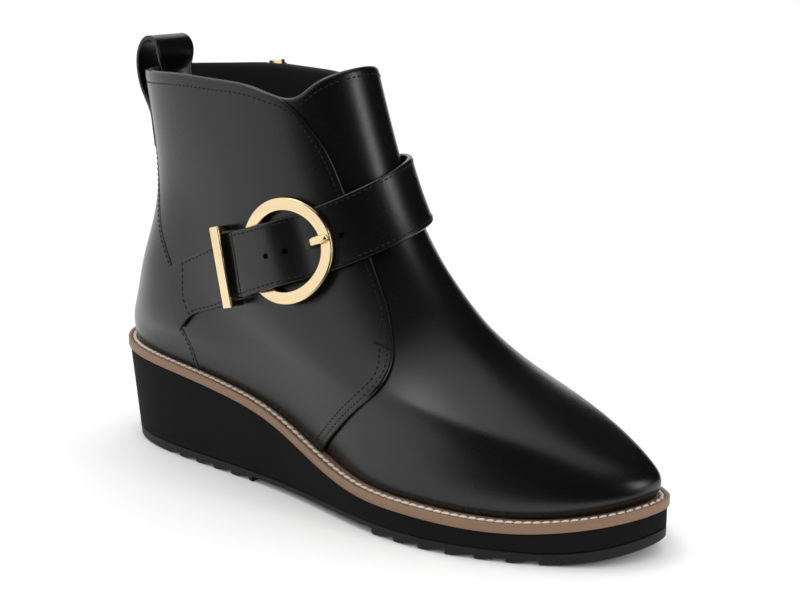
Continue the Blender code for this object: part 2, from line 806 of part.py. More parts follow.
def ribbon(name, path, widths, place, finish=None, group=None):
    """Flat bar along a path of (run, rise, thickness), with a half width each side.

    The place turns run, aside and rise into a point.
    """
    path = np.array(path, float)
    way = np.gradient(path[:, :2], axis=0)
    way /= np.linalg.norm(way, axis=1, keepdims=True)
    normal = np.stack([-way[:, 1], way[:, 0]], 1)
    half = path[:, 2:3] / 2
    upper = path[:, :2] + normal * half
    lower = path[:, :2] - normal * half
    section = np.concatenate([upper, lower[::-1]])
    widths = np.concatenate([widths, widths[::-1]])
    count = len(section)
    points = [place(run, side * w, rise) for side in (-1, 1) for (run, rise), w in zip(section, widths)]
    faces = []
    for start in (0, count):
        for k in range(len(path) - 1):
            faces.append([start + k, start + k + 1, start + count - k - 2, start + count - k - 1])
    faces += [[k, (k + 1) % count, count + (k + 1) % count, count + k] for k in range(count)]
    return mesh_object(name, points, faces, finish, group)


def strap_spots(buckle, run, asides):
    """Points and normals of the form across the strap at a distance along it."""
    angles, levels = strap_line(buckle, np.array([run]))
    start = (angles[0], levels[0])
    seat = Seat(*point_and_normal(*start))
    return [point_and_normal(*seat.on(0.0, aside, start)) for aside in asides]


def make_long_strap(leather, buckle):
    """Strap over the instep: inner side, front, under the ring, over it, to the keeper."""
    tip = -KEEPER_REACH - KEEPER_BAR / 2
    near = np.linspace(tip, RING_OUTER_RADIUS, STRAP_NEAR_ROWS)
    far = np.linspace(RING_OUTER_RADIUS, STRAP_REACH, STRAP_FAR_ROWS)[1:]
    asides = np.linspace(-STRAP_WIDTH / 2, STRAP_WIDTH / 2, 5)
    outer, inner = [], []
    for run in np.concatenate([near, far]):
        spots = strap_spots(buckle, run, asides)
        low = float(strap_height(run))
        inner.append([point + normal * low for point, normal in spots])
        outer.append([point + normal * (low + STRAP_THICKNESS) for point, normal in spots])
    strap = wall("strap_long", np.array(outer), np.array(inner), leather, closed=False)
    for k, step in enumerate(STRAP_HOLES):
        run = step * STRAP_HOLE_PITCH
        height = buckle.over(run)
        low, high = buckle.point(run, 0, height), buckle.point(run, 0, height + STRAP_WIDTH / 2)
        cut(strap, rod(f"strap_hole_{k}", low, high, STRAP_HOLE_RADIUS, 8, None, CUTTERS), "DIFFERENCE")
    return strap


def make_short_strap(leather, buckle):
    """Rear strap from the ring back to the back panel's seam, wider at the seam."""
    share, upper, lower = np.array(SHORT_STRAP).T
    outer, inner = [], []
    for way in np.linspace(0, 1, 14):
        run = -RING_OUTER_RADIUS - SEAM_GAP - way * SHORT_STRAP_REACH
        edges = STRAP_WIDTH * spline(share, np.stack([lower, upper], 1), np.array([way]))[0]
        spots = strap_spots(buckle, run, np.linspace(edges[0], edges[1], 5))
        inner.append([point + normal * STRAP_SEAT for point, normal in spots])
        outer.append([point + normal * (STRAP_SEAT + STRAP_THICKNESS) for point, normal in spots])
    strap = wall("strap_short", np.array(outer), np.array(inner), leather, closed=False)
    seam = moved(smooth_line(COUNTER_SEAM, 14), STRAP_PLAY)
    seam += [(-SEAT_MARGIN, seam[-1][1]), (-SEAT_MARGIN, seam[0][1])]
    cut(strap, side_cutter("short_strap_cut", seam, -BALL_WIDTH, -SEAM_GAP), "DIFFERENCE")
    return strap


def make_ring(metal, buckle):
    """Round buckle ring, bent a little with the boot: over the strap in front, under it behind."""
    half_face, half_rise = RING_FACE / 2, RING_THICKNESS / 2
    round_off = RING_THICKNESS * 0.28
    section = (
        (half_face, -half_rise + round_off),
        (half_face, half_rise - round_off),
        (half_face - round_off, half_rise),
        (-half_face + round_off, half_rise),
        (-half_face, half_rise - round_off),
        (-half_face, -half_rise + round_off),
        (-half_face + round_off, -half_rise),
        (half_face - round_off, -half_rise),
    )
    points = []
    for k in range(BUCKLE_STEPS):
        turn = 2 * math.pi * k / BUCKLE_STEPS
        run, aside = math.cos(turn), math.sin(turn)
        middle = RING_MIDDLE_RADIUS
        rise = buckle.over(middle * run, middle * aside) + ring_height(middle * run) + half_rise
        points += [buckle.point((middle + a) * run, (middle + a) * aside, rise + b) for a, b in section]
    count = len(section)
    faces = []
    for k in range(BUCKLE_STEPS):
        n = (k + 1) % BUCKLE_STEPS
        faces += [
            [k * count + i, k * count + (i + 1) % count, n * count + (i + 1) % count, n * count + i]
            for i in range(count)
        ]
    return mesh_object("buckle_ring", points, faces, metal)


def prong_path(buckle):
    """Middle line of the prong: a thin shank under the strap, then up onto the ring."""
    inner = RING_OUTER_RADIUS - RING_FACE
    flat = STRAP_SEAT + SHANK_PLAY + SHANK_THICKNESS / 2
    rows = []
    for run in np.linspace(-inner + SEAM_GAP * 2, PRONG_RISE_START, 6):
        rows.append((run, buckle.over(run) + flat, SHANK_THICKNESS))
    inner_reach, outer_reach = inner, RING_OUTER_RADIUS
    tops = [buckle.over(run) + ring_height(run) for run in (inner_reach, outer_reach)]
    rest = max(tops) + RING_THICKNESS + SEAM_GAP + PRONG_THICKNESS / 2
    rise = buckle.over(PRONG_RISE_START) + flat
    for share in (0.3, 0.6, 0.85):
        run = PRONG_RISE_START + share * PRONG_RISE_RUN
        lift = rise + (rest - rise) * float(smooth_step(share))
        rows.append((run, lift, SHANK_THICKNESS + (PRONG_THICKNESS - SHANK_THICKNESS) * share))
    for run in np.linspace(PRONG_RISE_START + PRONG_RISE_RUN, RING_OUTER_RADIUS - SEAM_GAP, 4):
        rows.append((run, rest, PRONG_THICKNESS))
    return np.array(rows)


def make_prong(metal, buckle, strap):
    """Prong through the strap's hole, its tip on the ring, and its bed in the strap."""
    path = prong_path(buckle)
    widths = np.full(len(path), PRONG_WIDTH / 2)
    widths[-1] *= 0.55
    place = buckle.point
    prong = ribbon("buckle_prong", path, widths, place, metal)
    bed = path.copy()
    bed[:, 2] += 2 * SEAM_GAP
    bed[0, 0] -= 2 * SEAM_GAP
    sides = np.full(len(path), PRONG_WIDTH / 2 + SEAM_GAP)
    cut(strap, ribbon("prong_bed", bed, sides, place, None, CUTTERS), "DIFFERENCE")
    return prong


def make_keeper(metal, buckle):
    """Square loop behind the ring: bar over both straps, legs down to the quarter."""
    seat = strap_seat(buckle, -KEEPER_REACH)
    half = KEEPER_THICKNESS / 2
    leg = STRAP_WIDTH / 2 + SEAM_GAP + half + KEEPER_PLAY
    runs = (-KEEPER_BAR / 2, 0.0, KEEPER_BAR / 2)
    asides = (-STRAP_WIDTH / 2, 0.0, STRAP_WIDTH / 2)
    top = max(seat.over(run, aside) for run in runs for aside in asides)
    top += OVER_LONG + half + KEEPER_PLAY
    ends = []
    for side in (-1, 1):
        lowest = max(seat.over(run, side * leg) for run in runs)
        ends.append(lowest + STRAP_SEAT + KEEPER_PLAY)
    line = [
        (-leg - half, ends[0]),
        (-leg - half, top + half),
        (leg + half, top + half),
        (leg + half, ends[1]),
        (leg - half, ends[1]),
        (leg - half, top - half),
        (-leg + half, top - half),
        (-leg + half, ends[0]),
    ]
    points = [seat.point(run, aside, rise) for run in (runs[0], runs[-1]) for aside, rise in line]
    count = len(line)
    faces = []
    for start in (0, count):
        faces += [[start, start + 1, start + 6, start + 7], [start + 1, start + 2, start + 5, start + 6]]
        faces.append([start + 2, start + 3, start + 4, start + 5])
    faces += [[k, (k + 1) % count, count + (k + 1) % count, count + k] for k in range(count)]
    return mesh_object("buckle_keeper", points, faces, metal, smooth=False)


def make_pull_loop(leather):
    """Strip sewn down the back, standing up as a loop and going down inside."""
    outside = SEAM_GAP + COUNTER_THICKNESS + LOOP_PLAY + LOOP_THICKNESS / 2
    inside = -(UPPER_WALL + LOOP_PLAY + LOOP_THICKNESS / 2)
    across = np.linspace(-LOOP_WIDTH / 2, LOOP_WIDTH / 2, 5)

    def on_back(up, height):
        row = []
        for y in across:
            angle, level = on_form(lambda p: (p[1], p[2]), (y, up * SHAFT_HEIGHT), 0.3 * np.sign(y), 0.9)
            point, normal = point_and_normal(angle, level)
            row.append(point + normal * height)
        return np.array(row)

    rows = [on_back(up, outside) for up in np.linspace(LOOP_TAIL_LOW, LOOP_TAIL_HIGH, 4)]
    for x, z in PULL_LOOP:
        rows.append(np.array([(SOLE_LENGTH * x, y, SHAFT_HEIGHT * z) for y in across]))
    rows += [on_back(up, inside) for up in np.linspace(LOOP_INSIDE_HIGH, LOOP_INSIDE_LOW, 4)]
    rows = np.array(rows)
    run = np.concatenate([[0], np.cumsum(np.linalg.norm(np.diff(rows[:, 2], axis=0), axis=1))])
    rows = spline(run, rows, np.linspace(0, run[-1], 30))
    down, side = np.gradient(rows, axis=0), np.gradient(rows, axis=1)
    normal = np.cross(down, side)
    normal /= np.linalg.norm(normal, axis=-1, keepdims=True)
    half = LOOP_THICKNESS / 2
    return wall("pull_loop", rows + normal * half, rows - normal * half, leather, closed=False)


def zip_frame():
    """Place of the slider: its middle on the form, out, up the zip and across it."""
    line = smooth_line(ZIP_LINE, 40)
    up = ZIP_SLIDER_HEIGHT * SHAFT_HEIGHT
    row = min(range(len(line)), key=lambda k: abs(line[k][1] - up))
    middle, out = seen_from_side(line[row][0], up, 1)
    below, _ = seen_from_side(line[row][0] + 0.0012, up - 0.010, 1)
    rise = unit(middle - below)
    rise = unit(rise - out * rise.dot(out))
    return middle, out, rise, np.cross(rise, out)


def make_zip(fabric, metal):
    """Closed zip in the inner quarter's slot, with its slider at the top."""
    tape_top = SEAM_GAP + ZIP_TAPE_THICKNESS
    tape = layer("zip_tape", SEAM_GAP, tape_top, fabric)
    cut(tape, zip_strip("zip_tape_cut", ZIP_SLOT_WIDTH - 2 * SEAM_GAP, 0.02, 0.88), "INTERSECT")
    middle, out, rise, aside = zip_frame()
    teeth_low = tape_top + SEAM_GAP
    teeth = layer("zip_teeth", teeth_low, teeth_low + ZIP_TEETH_THICKNESS, metal)
    cut(teeth, zip_strip("zip_teeth_cut", ZIP_TEETH_WIDTH, 0.04, 1.1), "INTERSECT")
    directions = (rise, aside, out)
    clear = (2 * ZIP_SLIDER_LENGTH + 2 * SEAM_GAP, SAFE_REACH, SAFE_REACH)
    above = box("slider_gap", middle + rise * ZIP_SLIDER_LENGTH / 2, directions, clear, None, CUTTERS)
    cut(teeth, above, "DIFFERENCE")

    seat = teeth_low + SEAM_GAP + ZIP_SLIDER_THICKNESS / 2
    sides = (ZIP_SLIDER_LENGTH, ZIP_SLIDER_WIDTH, ZIP_SLIDER_THICKNESS)
    slider = box("zip_slider", middle + out * seat, directions, sides, metal)
    axis = zip_axis()
    apart = ZIP_KNUCKLE_WIDTH / 2 + ZIP_CLEARANCE
    for k, side in enumerate((-1, 1)):
        start = axis + aside * side * apart
        end = axis + aside * side * (apart + ZIP_EAR_THICKNESS)
        cut(slider, rod(f"zip_ear_{k}", start, end, ZIP_EAR_RADIUS, 12, None, CUTTERS), "UNION")

    pull = rod(
        "zip_pull",
        axis - aside * ZIP_KNUCKLE_WIDTH / 2,
        axis + aside * ZIP_KNUCKLE_WIDTH / 2,
        ZIP_KNUCKLE_RADIUS,
        12,
        metal,
    )
    down = np.array([0.0, 0.0, -1.0])
    face = unit(np.cross(aside, down))
    if face.dot(out) < 0:
        face = -face
    neck = ZIP_EAR_RADIUS + 2 * ZIP_CLEARANCE
    directions = (down, unit(np.cross(face, down)), face)
    sides = (neck + ZIP_KNUCKLE_RADIUS, ZIP_KNUCKLE_WIDTH, ZIP_PULL_THICKNESS)
    stem = box("zip_stem", axis + down * (sides[0] / 2), directions, sides, None, CUTTERS)
    cut(pull, stem, "UNION")
    sides = (ZIP_PULL_LENGTH - neck, ZIP_PULL_WIDTH, ZIP_PULL_THICKNESS)
    tab = box("zip_tab", axis + down * (neck + sides[0] / 2), directions, sides, None, CUTTERS)
    cut(pull, tab, "UNION")
    return tape, teeth, slider, pull


def zip_axis():
    """Middle of the pull tab's hinge, over the slider's face."""
    middle, out, rise, _ = zip_frame()
    seat = SEAM_GAP + ZIP_TAPE_THICKNESS + 2 * SEAM_GAP + ZIP_SLIDER_THICKNESS
    return middle + out * (seat + ZIP_KNUCKLE_RADIUS + ZIP_STAND_OFF) + rise * ZIP_SLIDER_LENGTH * 0.18


def clear_scene():
    for body in list(bpy.data.objects):
        bpy.data.objects.remove(body, do_unlink=True)


def new_collection(name):
    group = bpy.data.collections.new(name)
    bpy.context.scene.collection.children.link(group)
    return group


clear_scene()
PARTS = new_collection("wedge_ankle_boot")
CUTTERS = new_collection("cutters")

black_leather = material("black_leather", (0.018, 0.017, 0.017), 0.34)
lining_leather = material("sock_leather", (0.030, 0.028, 0.027), 0.70)
tan_welt = material("tan_welt", (0.235, 0.140, 0.085), 0.60)
black_rubber = material("black_rubber", (0.020, 0.020, 0.021), 0.75)
black_foam = material("black_foam", (0.013, 0.013, 0.014), 0.85)
pale_gold = material("pale_gold", (0.830, 0.690, 0.430), 0.22, 1.0)
zip_cloth = material("zip_cloth", (0.012, 0.012, 0.012), 0.90)

make_outsole(black_rubber)
make_wedge(black_foam)
make_welt(tan_welt)
make_insole(lining_leather)
make_upper(black_leather)
make_quarters(black_leather)
buckle = buckle_seat()
long_strap = make_long_strap(black_leather, buckle)
make_short_strap(black_leather, buckle)
make_ring(pale_gold, buckle)
make_prong(pale_gold, buckle, long_strap)
make_keeper(pale_gold, buckle)
make_pull_loop(black_leather)
tape, teeth, slider, pull = make_zip(zip_cloth, pale_gold)

_, _, _, hinge_way = zip_frame()
print("middle of the welt:", np.round(MIDDLE, 5))
print("zip pull hinge:", np.round(centred(zip_axis()), 5), "axis", np.round(hinge_way, 4))
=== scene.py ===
# %% [markdown]
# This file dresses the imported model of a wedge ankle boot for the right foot. The packed
# solids give the sizes. Each cell below makes one piece or one finish over them.
# Everything is in metres: +X goes to the toe, +Y to the inner side of the foot, +Z up.

# %% Start
import math

import bmesh
import bpy
import numpy as np
from mathutils import Matrix, Vector


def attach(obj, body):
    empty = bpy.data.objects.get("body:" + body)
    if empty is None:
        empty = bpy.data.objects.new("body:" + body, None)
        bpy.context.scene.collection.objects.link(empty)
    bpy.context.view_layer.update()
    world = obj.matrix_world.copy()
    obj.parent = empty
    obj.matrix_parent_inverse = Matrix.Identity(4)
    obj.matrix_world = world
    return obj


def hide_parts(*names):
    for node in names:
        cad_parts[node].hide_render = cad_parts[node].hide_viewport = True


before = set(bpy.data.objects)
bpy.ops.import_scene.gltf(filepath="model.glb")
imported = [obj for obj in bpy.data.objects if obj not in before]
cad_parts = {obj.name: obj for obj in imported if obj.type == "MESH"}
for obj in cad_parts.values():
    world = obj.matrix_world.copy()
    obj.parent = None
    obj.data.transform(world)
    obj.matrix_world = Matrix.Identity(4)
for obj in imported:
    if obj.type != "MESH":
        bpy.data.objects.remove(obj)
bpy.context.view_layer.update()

# %% [markdown]
# A boot is drawn from a few measures of its last: the sole's length, the width at the
# ball, the heel's height and the shaft's height. The same measures and the same short
# tables shape the solids, so a finished piece lies where its solid lies.

# %% Named sizes
SOLE_LENGTH = 0.2645
BALL_WIDTH = 0.0892
HEEL_HEIGHT = 0.0420
SHAFT_HEIGHT = 0.1710
OUTSOLE_THICKNESS = 0.0045
TOE_SPRING = 0.0064
TREAD_DEPTH = 0.0025
TREAD_PITCH = 0.0109
TREAD_LAND = 0.16
HEEL_TREAD_START = 0.187
FORE_TREAD_START = 0.633
HEEL_TEETH = 5
FOREFOOT_TEETH = 6
SOLE_INSET = 0.0008
HEEL_TAPER = 0.0034
WELT_THICKNESS = 0.0038
WELT_BAND = 0.0130
GROOVE_INSET = 0.0017
GROOVE_WIDTH = 0.0024
GROOVE_DEPTH = 0.0008
UPPER_WALL = 0.0024
FEATHER_INSET = 0.0050
QUARTER_INSET = 0.0010
RAND_BULGE = 0.0008
RAND_RISE = 0.0090
OVERLAY_THICKNESS = 0.0016
COUNTER_THICKNESS = 0.0019
SEAM_GAP = 0.0003
STRAP_WIDTH = 0.0262
STRAP_THICKNESS = 0.0020
STRAP_PLAY = 0.0005
RING_OUTER_RADIUS = 0.0206
RING_FACE = 0.0050
RING_THICKNESS = 0.0028
RING_PASS = 0.0088
RING_FRONT_LIFT = 0.0003
RING_BACK_LIFT = 0.0011
PRONG_WIDTH = 0.0034
PRONG_THICKNESS = 0.0022
PRONG_RISE_START = 0.0066
PRONG_RISE_RUN = 0.0080
SHANK_THICKNESS = 0.0009
KEEPER_REACH = 0.0284
KEEPER_BAR = 0.0050
KEEPER_THICKNESS = 0.0024
KEEPER_PLAY = 0.0005
STRAP_HOLE_RADIUS = 0.0011
STRAP_HOLE_PITCH = 0.0076
STRAP_FALL_RUN = 0.0032
STRAP_REACH = 0.1080
STRAP_ROOT_ANGLE = 1.62
LOOP_WIDTH = 0.0210
LOOP_THICKNESS = 0.0018
LOOP_PLAY = 0.0005
ZIP_SLOT_WIDTH = 0.0090
ZIP_TAPE_THICKNESS = 0.0006
print("length:", SOLE_LENGTH, "m, shaft:", SHAFT_HEIGHT, "m")

# %% [markdown]
# A last maker writes a last down as a few profiles, and a pattern cutter draws the seams
# on its side view. These tables hold both as shares of the measures above, so they stay
# true when a measure changes.

# %% Tables of the last and of the pattern
# Welt outline: share of the length, outer and inner side as shares of the ball width.
OUTLINE = (
    (0.00, 0.000, 0.000),
    (0.02, -0.153, 0.157),
    (0.06, -0.256, 0.258),
    (0.12, -0.322, 0.318),
    (0.22, -0.350, 0.338),
    (0.34, -0.360, 0.328),
    (0.46, -0.398, 0.335),
    (0.56, -0.460, 0.385),
    (0.64, -0.498, 0.450),
    (0.72, -0.496, 0.494),
    (0.80, -0.440, 0.486),
    (0.88, -0.340, 0.418),
    (0.94, -0.234, 0.300),
    (0.98, -0.110, 0.185),
    (1.00, 0.060, 0.060),
)
# Wedge top: share of the length, share of the heel height.
WEDGE_TOP = (
    (0.00, 1.000),
    (0.15, 0.950),
    (0.30, 0.833),
    (0.40, 0.695),
    (0.50, 0.467),
    (0.60, 0.321),
    (0.70, 0.295),
    (0.85, 0.279),
    (1.00, 0.438),
)
RING_STATIONS = (0.0, 0.1, 0.3, 0.5, 0.7, 0.9, 1.0)
SHIFT_STATIONS = (0.0, 0.3, 0.7, 1.0)
# Rings of the upper: front x and z, back x and z, fullness at seven stations, shift.
RINGS = (
    (0.926, 0.225, 0.038, 0.374, (0.55, 0.48, 0.335, 0.36, 0.48, 0.500, 0.48), (-0.011, -0.011, 0.056)),
    (0.834, 0.292, 0.053, 0.433, (0.54, 0.49, 0.345, 0.36, 0.455, 0.470, 0.42), (-0.011, -0.011, 0.045)),
    (0.718, 0.392, 0.070, 0.503, (0.50, 0.48, 0.353, 0.36, 0.398, 0.415, 0.40), (-0.006, -0.006, 0.034)),
    (0.618, 0.553, 0.091, 0.585, (0.45, 0.44, 0.353, 0.348, 0.353, 0.353, 0.348), (0.0, 0.0, 0.022)),
    (0.558, 0.708, 0.100, 0.667, (0.39, 0.385, 0.336, 0.331, 0.342, 0.348, 0.348), (0.0, 0.0, 0.022)),
    (0.522, 0.854, 0.098, 0.784, (0.37, 0.37, 0.342, 0.331, 0.342, 0.348, 0.348), (0.0, 0.0, 0.022)),
    (0.492, 1.000, 0.078, 0.982, (0.37, 0.37, 0.348, 0.331, 0.342, 0.348, 0.348), (0.0, 0.0, 0.022)),
)
# Top edge from back to front: station, share of the shaft height.
TOP_EDGE = (
    (0.00, 0.962),
    (0.12, 0.962),
    (0.34, 0.966),
    (0.48, 0.962),
    (0.60, 0.958),
    (0.69, 0.949),
    (0.76, 0.933),
    (0.83, 0.931),
    (0.89, 0.959),
    (0.95, 0.982),
    (1.00, 0.995),
)
# Pattern lines seen from the side: shares of the length and of the shaft height.
COUNTER_SEAM = (
    (0.104, 1.060),
    (0.110, 0.960),
    (0.127, 0.800),
    (0.148, 0.663),
    (0.186, 0.537),
    (0.198, 0.503),
    (0.204, 0.380),
    (0.218, 0.343),
    (0.232, 0.265),
    (0.260, 0.200),
)
QUARTER_EDGE = (
    (0.300, 1.060),
    (0.340, 0.985),
    (0.363, 0.956),
    (0.390, 0.942),
    (0.418, 0.922),
    (0.436, 0.900),
    (0.452, 0.872),
    (0.469, 0.838),
    (0.484, 0.801),
    (0.507, 0.726),
    (0.532, 0.650),
    (0.556, 0.582),
    (0.578, 0.524),
    (0.599, 0.471),
    (0.617, 0.421),
    (0.630, 0.380),
    (0.633, 0.335),
    (0.605, 0.282),
    (0.572, 0.235),
    (0.545, 0.193),
    (0.512, 0.133),
    (0.500, 0.060),
)
ZIP_LINE = ((0.212, 1.060), (0.217, 0.960), (0.245, 0.700), (0.290, 0.440))
PULL_LOOP = (
    (0.064, 0.901),
    (0.056, 0.942),
    (0.055, 0.977),
    (0.062, 1.011),
    (0.079, 1.032),
    (0.096, 1.024),
    (0.103, 0.995),
)
LOOP_TAIL_LOW, LOOP_TAIL_HIGH = 0.766, 0.848
LOOP_INSIDE_HIGH, LOOP_INSIDE_LOW = 0.948, 0.860
BUCKLE_X, BUCKLE_Z = 0.4446, 0.5870
STRAP_CLIMB_ALONG, STRAP_CLIMB_ACROSS = 0.300, 0.300
print("rings:", len(RINGS), "points of the seams:", len(COUNTER_SEAM) + len(QUARTER_EDGE))

# %% [markdown]
# A smooth curve through a few measured points is what a pattern maker draws with a
# flexible rule. A natural cubic spline does the same: it bends as little as it can.

# %% Splines
def spline(knots, values, at):
    """Natural cubic curve through the values at the knots."""
    knots = np.asarray(knots, float)
    values = np.asarray(values, float)
    flat = values.reshape(len(knots), -1)
    bend = bend_matrix(knots) @ flat
    at = np.asarray(at, float)
    low = np.clip(np.searchsorted(knots, at) - 1, 0, len(knots) - 2)
    before = (knots[low + 1] - at)[..., None]
    after = (at - knots[low])[..., None]
    step = np.diff(knots)[low][..., None]
    out = (bend[low] * before**3 + bend[low + 1] * after**3) / (6 * step)
    out = out + (flat[low] / step - bend[low] * step / 6) * before
    out = out + (flat[low + 1] / step - bend[low + 1] * step / 6) * after
    return out.reshape(at.shape + values.shape[1:])


def bend_matrix(knots):
    """Turns the values at the knots into the curve's bend there."""
    steps = np.diff(knots)
    matrix = np.eye(len(knots))
    right = np.zeros_like(matrix)
    for i in range(1, len(knots) - 1):
        matrix[i, i - 1 : i + 2] = steps[i - 1], 2 * (steps[i - 1] + steps[i]), steps[i]
        right[i, i - 1 : i + 2] = 6 / steps[i - 1], -6 / steps[i - 1] - 6 / steps[i], 6 / steps[i]
    return np.linalg.solve(matrix, right)


def angle_of(station):
    """Angle round a ring, from the heel, that lies at a share of its length."""
    return np.arccos(1 - 2 * np.asarray(station, float))


def smooth_step(share):
    share = np.clip(share, 0, 1)
    return share * share * (3 - 2 * share)


def walked(points):
    """Distance along a line of points, from its first one."""
    return np.concatenate([[0], np.cumsum(np.linalg.norm(np.diff(points, axis=0), axis=1))])


print("curve through 0, 1, 0:", spline((0, 1, 2), (0, 1, 0), (0.5, 1.5)))

# %% [markdown]
# The welt's edge is the boot's ground plan. It goes once round the foot, so its two
# sides are joined into one closed curve before it is sampled.

# %% Ground plan and wedge
def periodic_outline():
    table = np.array(OUTLINE)
    around = angle_of(table[:, 0])
    angles = np.concatenate([-around[::-1], around[1:]])
    values = np.concatenate([table[::-1, 1], table[1:, 2]])
    turn = 2 * math.pi
    angles = np.concatenate([angles[-4:-1] - turn, angles, angles[1:4] + turn])
    return angles, np.concatenate([values[-4:-1], values, values[1:4]])


OUTLINE_ANGLES, OUTLINE_VALUES = periodic_outline()


def outline(angles, inset=0.0):
    """Points of the welt's edge at the angles, moved inwards by the inset."""

    def edge(at):
        across = BALL_WIDTH * spline(OUTLINE_ANGLES, OUTLINE_VALUES, at)
        return np.stack([SOLE_LENGTH * (1 - np.cos(at)) / 2, across], -1)

    angles = (np.asarray(angles, float) + math.pi) % (2 * math.pi) - math.pi
    way = edge(angles + 1e-3) - edge(angles - 1e-3)
    way /= np.linalg.norm(way, axis=-1, keepdims=True)
    inwards = np.stack([way[..., 1], -way[..., 0]], -1)
    return edge(angles) + inwards * np.broadcast_to(inset, angles.shape)[..., None]


EDGE = outline(np.linspace(-math.pi, math.pi, 721))
MIDDLE = (EDGE.min(axis=0) + EDGE.max(axis=0)) / 2
print("welt:", np.round(EDGE.max(axis=0) - EDGE.min(axis=0), 4), "m")


def wedge_top(along):
    stations, heights = zip(*WEDGE_TOP)
    return HEEL_HEIGHT * spline(stations, heights, np.clip(along / SOLE_LENGTH, 0, 1))


def floor_line(along):
    return TOE_SPRING * np.clip((along / SOLE_LENGTH - 0.86) / 0.14, 0, 1) ** 2


# %% [markdown]
# The upper is pulled over a last. Its form goes through rings that lean from the heel
# to the instep, so one angle and one level name any spot on the leather.

# %% Form of the last
def key_rings(angles):
    station = (1 - np.cos(angles)) / 2
    rings = []
    feather = FEATHER_INSET + QUARTER_INSET * smooth_step((0.62 - station) / 0.14)
    for inset, rise in ((feather, SEAM_GAP), (feather - RAND_BULGE, RAND_RISE)):
        flat = outline(angles, inset)
        rings.append(np.column_stack([flat, wedge_top(flat[:, 0]) + WELT_THICKNESS + rise]))
    away = np.abs((angles + math.pi) % (2 * math.pi) - math.pi)
    for front_x, front_z, back_x, back_z, fullness, shift in RINGS:
        along = SOLE_LENGTH * (back_x + (front_x - back_x) * station)
        up = SHAFT_HEIGHT * (back_z + (front_z - back_z) * station)
        full = BALL_WIDTH * spline(angle_of(RING_STATIONS), fullness, away)
        middle = BALL_WIDTH * spline(SHIFT_STATIONS, (0.0, *shift), station)
        rings.append(np.stack([along, middle + full * np.sin(angles), up], -1))
    return np.array(rings)


RING_KNOTS = np.linspace(0, 1, len(RINGS) + 2)
RING_BEND = bend_matrix(RING_KNOTS)


def form(angles, levels):
    """Points of the form at angles and levels, two arrays that fit together."""
    angles, levels = np.broadcast_arrays(np.asarray(angles, float), np.asarray(levels, float))
    rings = key_rings(angles.ravel())
    bends = np.tensordot(RING_BEND, rings, 1)
    at = levels.ravel()
    step = RING_KNOTS[1]
    low = np.clip((at / step).astype(int), 0, len(RING_KNOTS) - 2)
    spot = np.arange(len(at))
    before = (RING_KNOTS[low + 1] - at)[:, None]
    after = (at - RING_KNOTS[low])[:, None]
    out = (bends[low, spot] * before**3 + bends[low + 1, spot] * after**3) / (6 * step)
    out += (rings[low, spot] / step - bends[low, spot] * step / 6) * before
    out += (rings[low + 1, spot] / step - bends[low + 1, spot] * step / 6) * after
    return out.reshape(angles.shape + (3,))


def unit(vector):
    vector = np.asarray(vector, float)
    return vector / np.linalg.norm(vector, axis=-1, keepdims=True)


def outward(angles, levels):
    """Unit normals of the form, pointing out of the boot."""
    step = 2e-3
    round_way = form(angles + step, levels) - form(angles - step, levels)
    up_way = form(angles, levels + step) - form(angles, levels - step)
    return unit(np.cross(up_way, round_way))


def top_level(angles):
    """Level where the top edge runs, at each angle."""
    angles = np.asarray(angles, float)
    turns = np.linspace(-math.pi, math.pi, 241)
    dense = np.linspace(0.7, 1.05, 71)
    heights = form(turns[:, None], dense[None, :])[..., 2]
    edge = SHAFT_HEIGHT * spline(*zip(*TOP_EDGE), (1 - np.cos(turns)) / 2)
    top = [np.interp(edge[k], heights[k], dense) for k in range(len(turns))]
    return np.interp((angles + math.pi) % (2 * math.pi) - math.pi, turns, top)


def on_form(measure, target, angles, levels):
    """Angles and levels where two measures of the form's points meet the target."""
    target = np.asarray(target, float)
    angles, levels = (np.array(v, float) for v in np.broadcast_arrays(angles, levels))
    for _ in range(30):
        here = measure(form(angles, levels))
        by_angle = (measure(form(angles + 1e-4, levels)) - here) / 1e-4
        by_level = (measure(form(angles, levels + 1e-4)) - here) / 1e-4
        miss = target - here
        if np.abs(miss).max() < 1e-7:
            break
        whole = by_angle[..., 0] * by_level[..., 1] - by_angle[..., 1] * by_level[..., 0]
        turn = (miss[..., 0] * by_level[..., 1] - miss[..., 1] * by_level[..., 0]) / whole
        rise = (by_angle[..., 0] * miss[..., 1] - by_angle[..., 1] * miss[..., 0]) / whole
        angles += np.clip(turn, -0.2, 0.2)
        levels += np.clip(rise, -0.1, 0.1)
    return angles, levels


def side_measure(points):
    return points[..., [0, 2]]


def from_side(line, side):
    """Angles and levels of a line of the side view, on the outer (-1) or inner side."""
    line = np.asarray(line, float)
    angles = side * angle_of(np.clip((line[:, 0] / SOLE_LENGTH - 0.08) / 0.50, 0.05, 0.95))
    return on_form(side_measure, line, angles, np.clip(line[:, 1] / SHAFT_HEIGHT, 0.15, 0.95))


def pattern_line(table, count=120):
    """A pattern line in metres, made round through its points."""
    rows = np.array(table) * (SOLE_LENGTH, SHAFT_HEIGHT)
    steps = walked(rows)
    return spline(steps, rows, np.linspace(0, steps[-1], count))


def beside(line, distance):
    """The line moved to its left, seen along it, in its own plane."""
    way = unit(np.gradient(line, axis=0))
    return line + distance * np.stack([-way[:, 1], way[:, 0]], 1)


print("level of the collar at the heel:", round(float(top_level(0.0)), 3))

# %% [markdown]
# Every piece is a mesh made from grids of points. Two grids, one for each face of the
# leather, joined round their edges make a closed wall, which is how real leather is.

# %% Mesh helpers
EDGE_ROLL = 0.0011
ROLL_STEPS = np.array([0.0, 0.00005, 0.00016, 0.00035, 0.0006, 0.0009, 0.0013])
SHARP_ANGLE = math.radians(38)


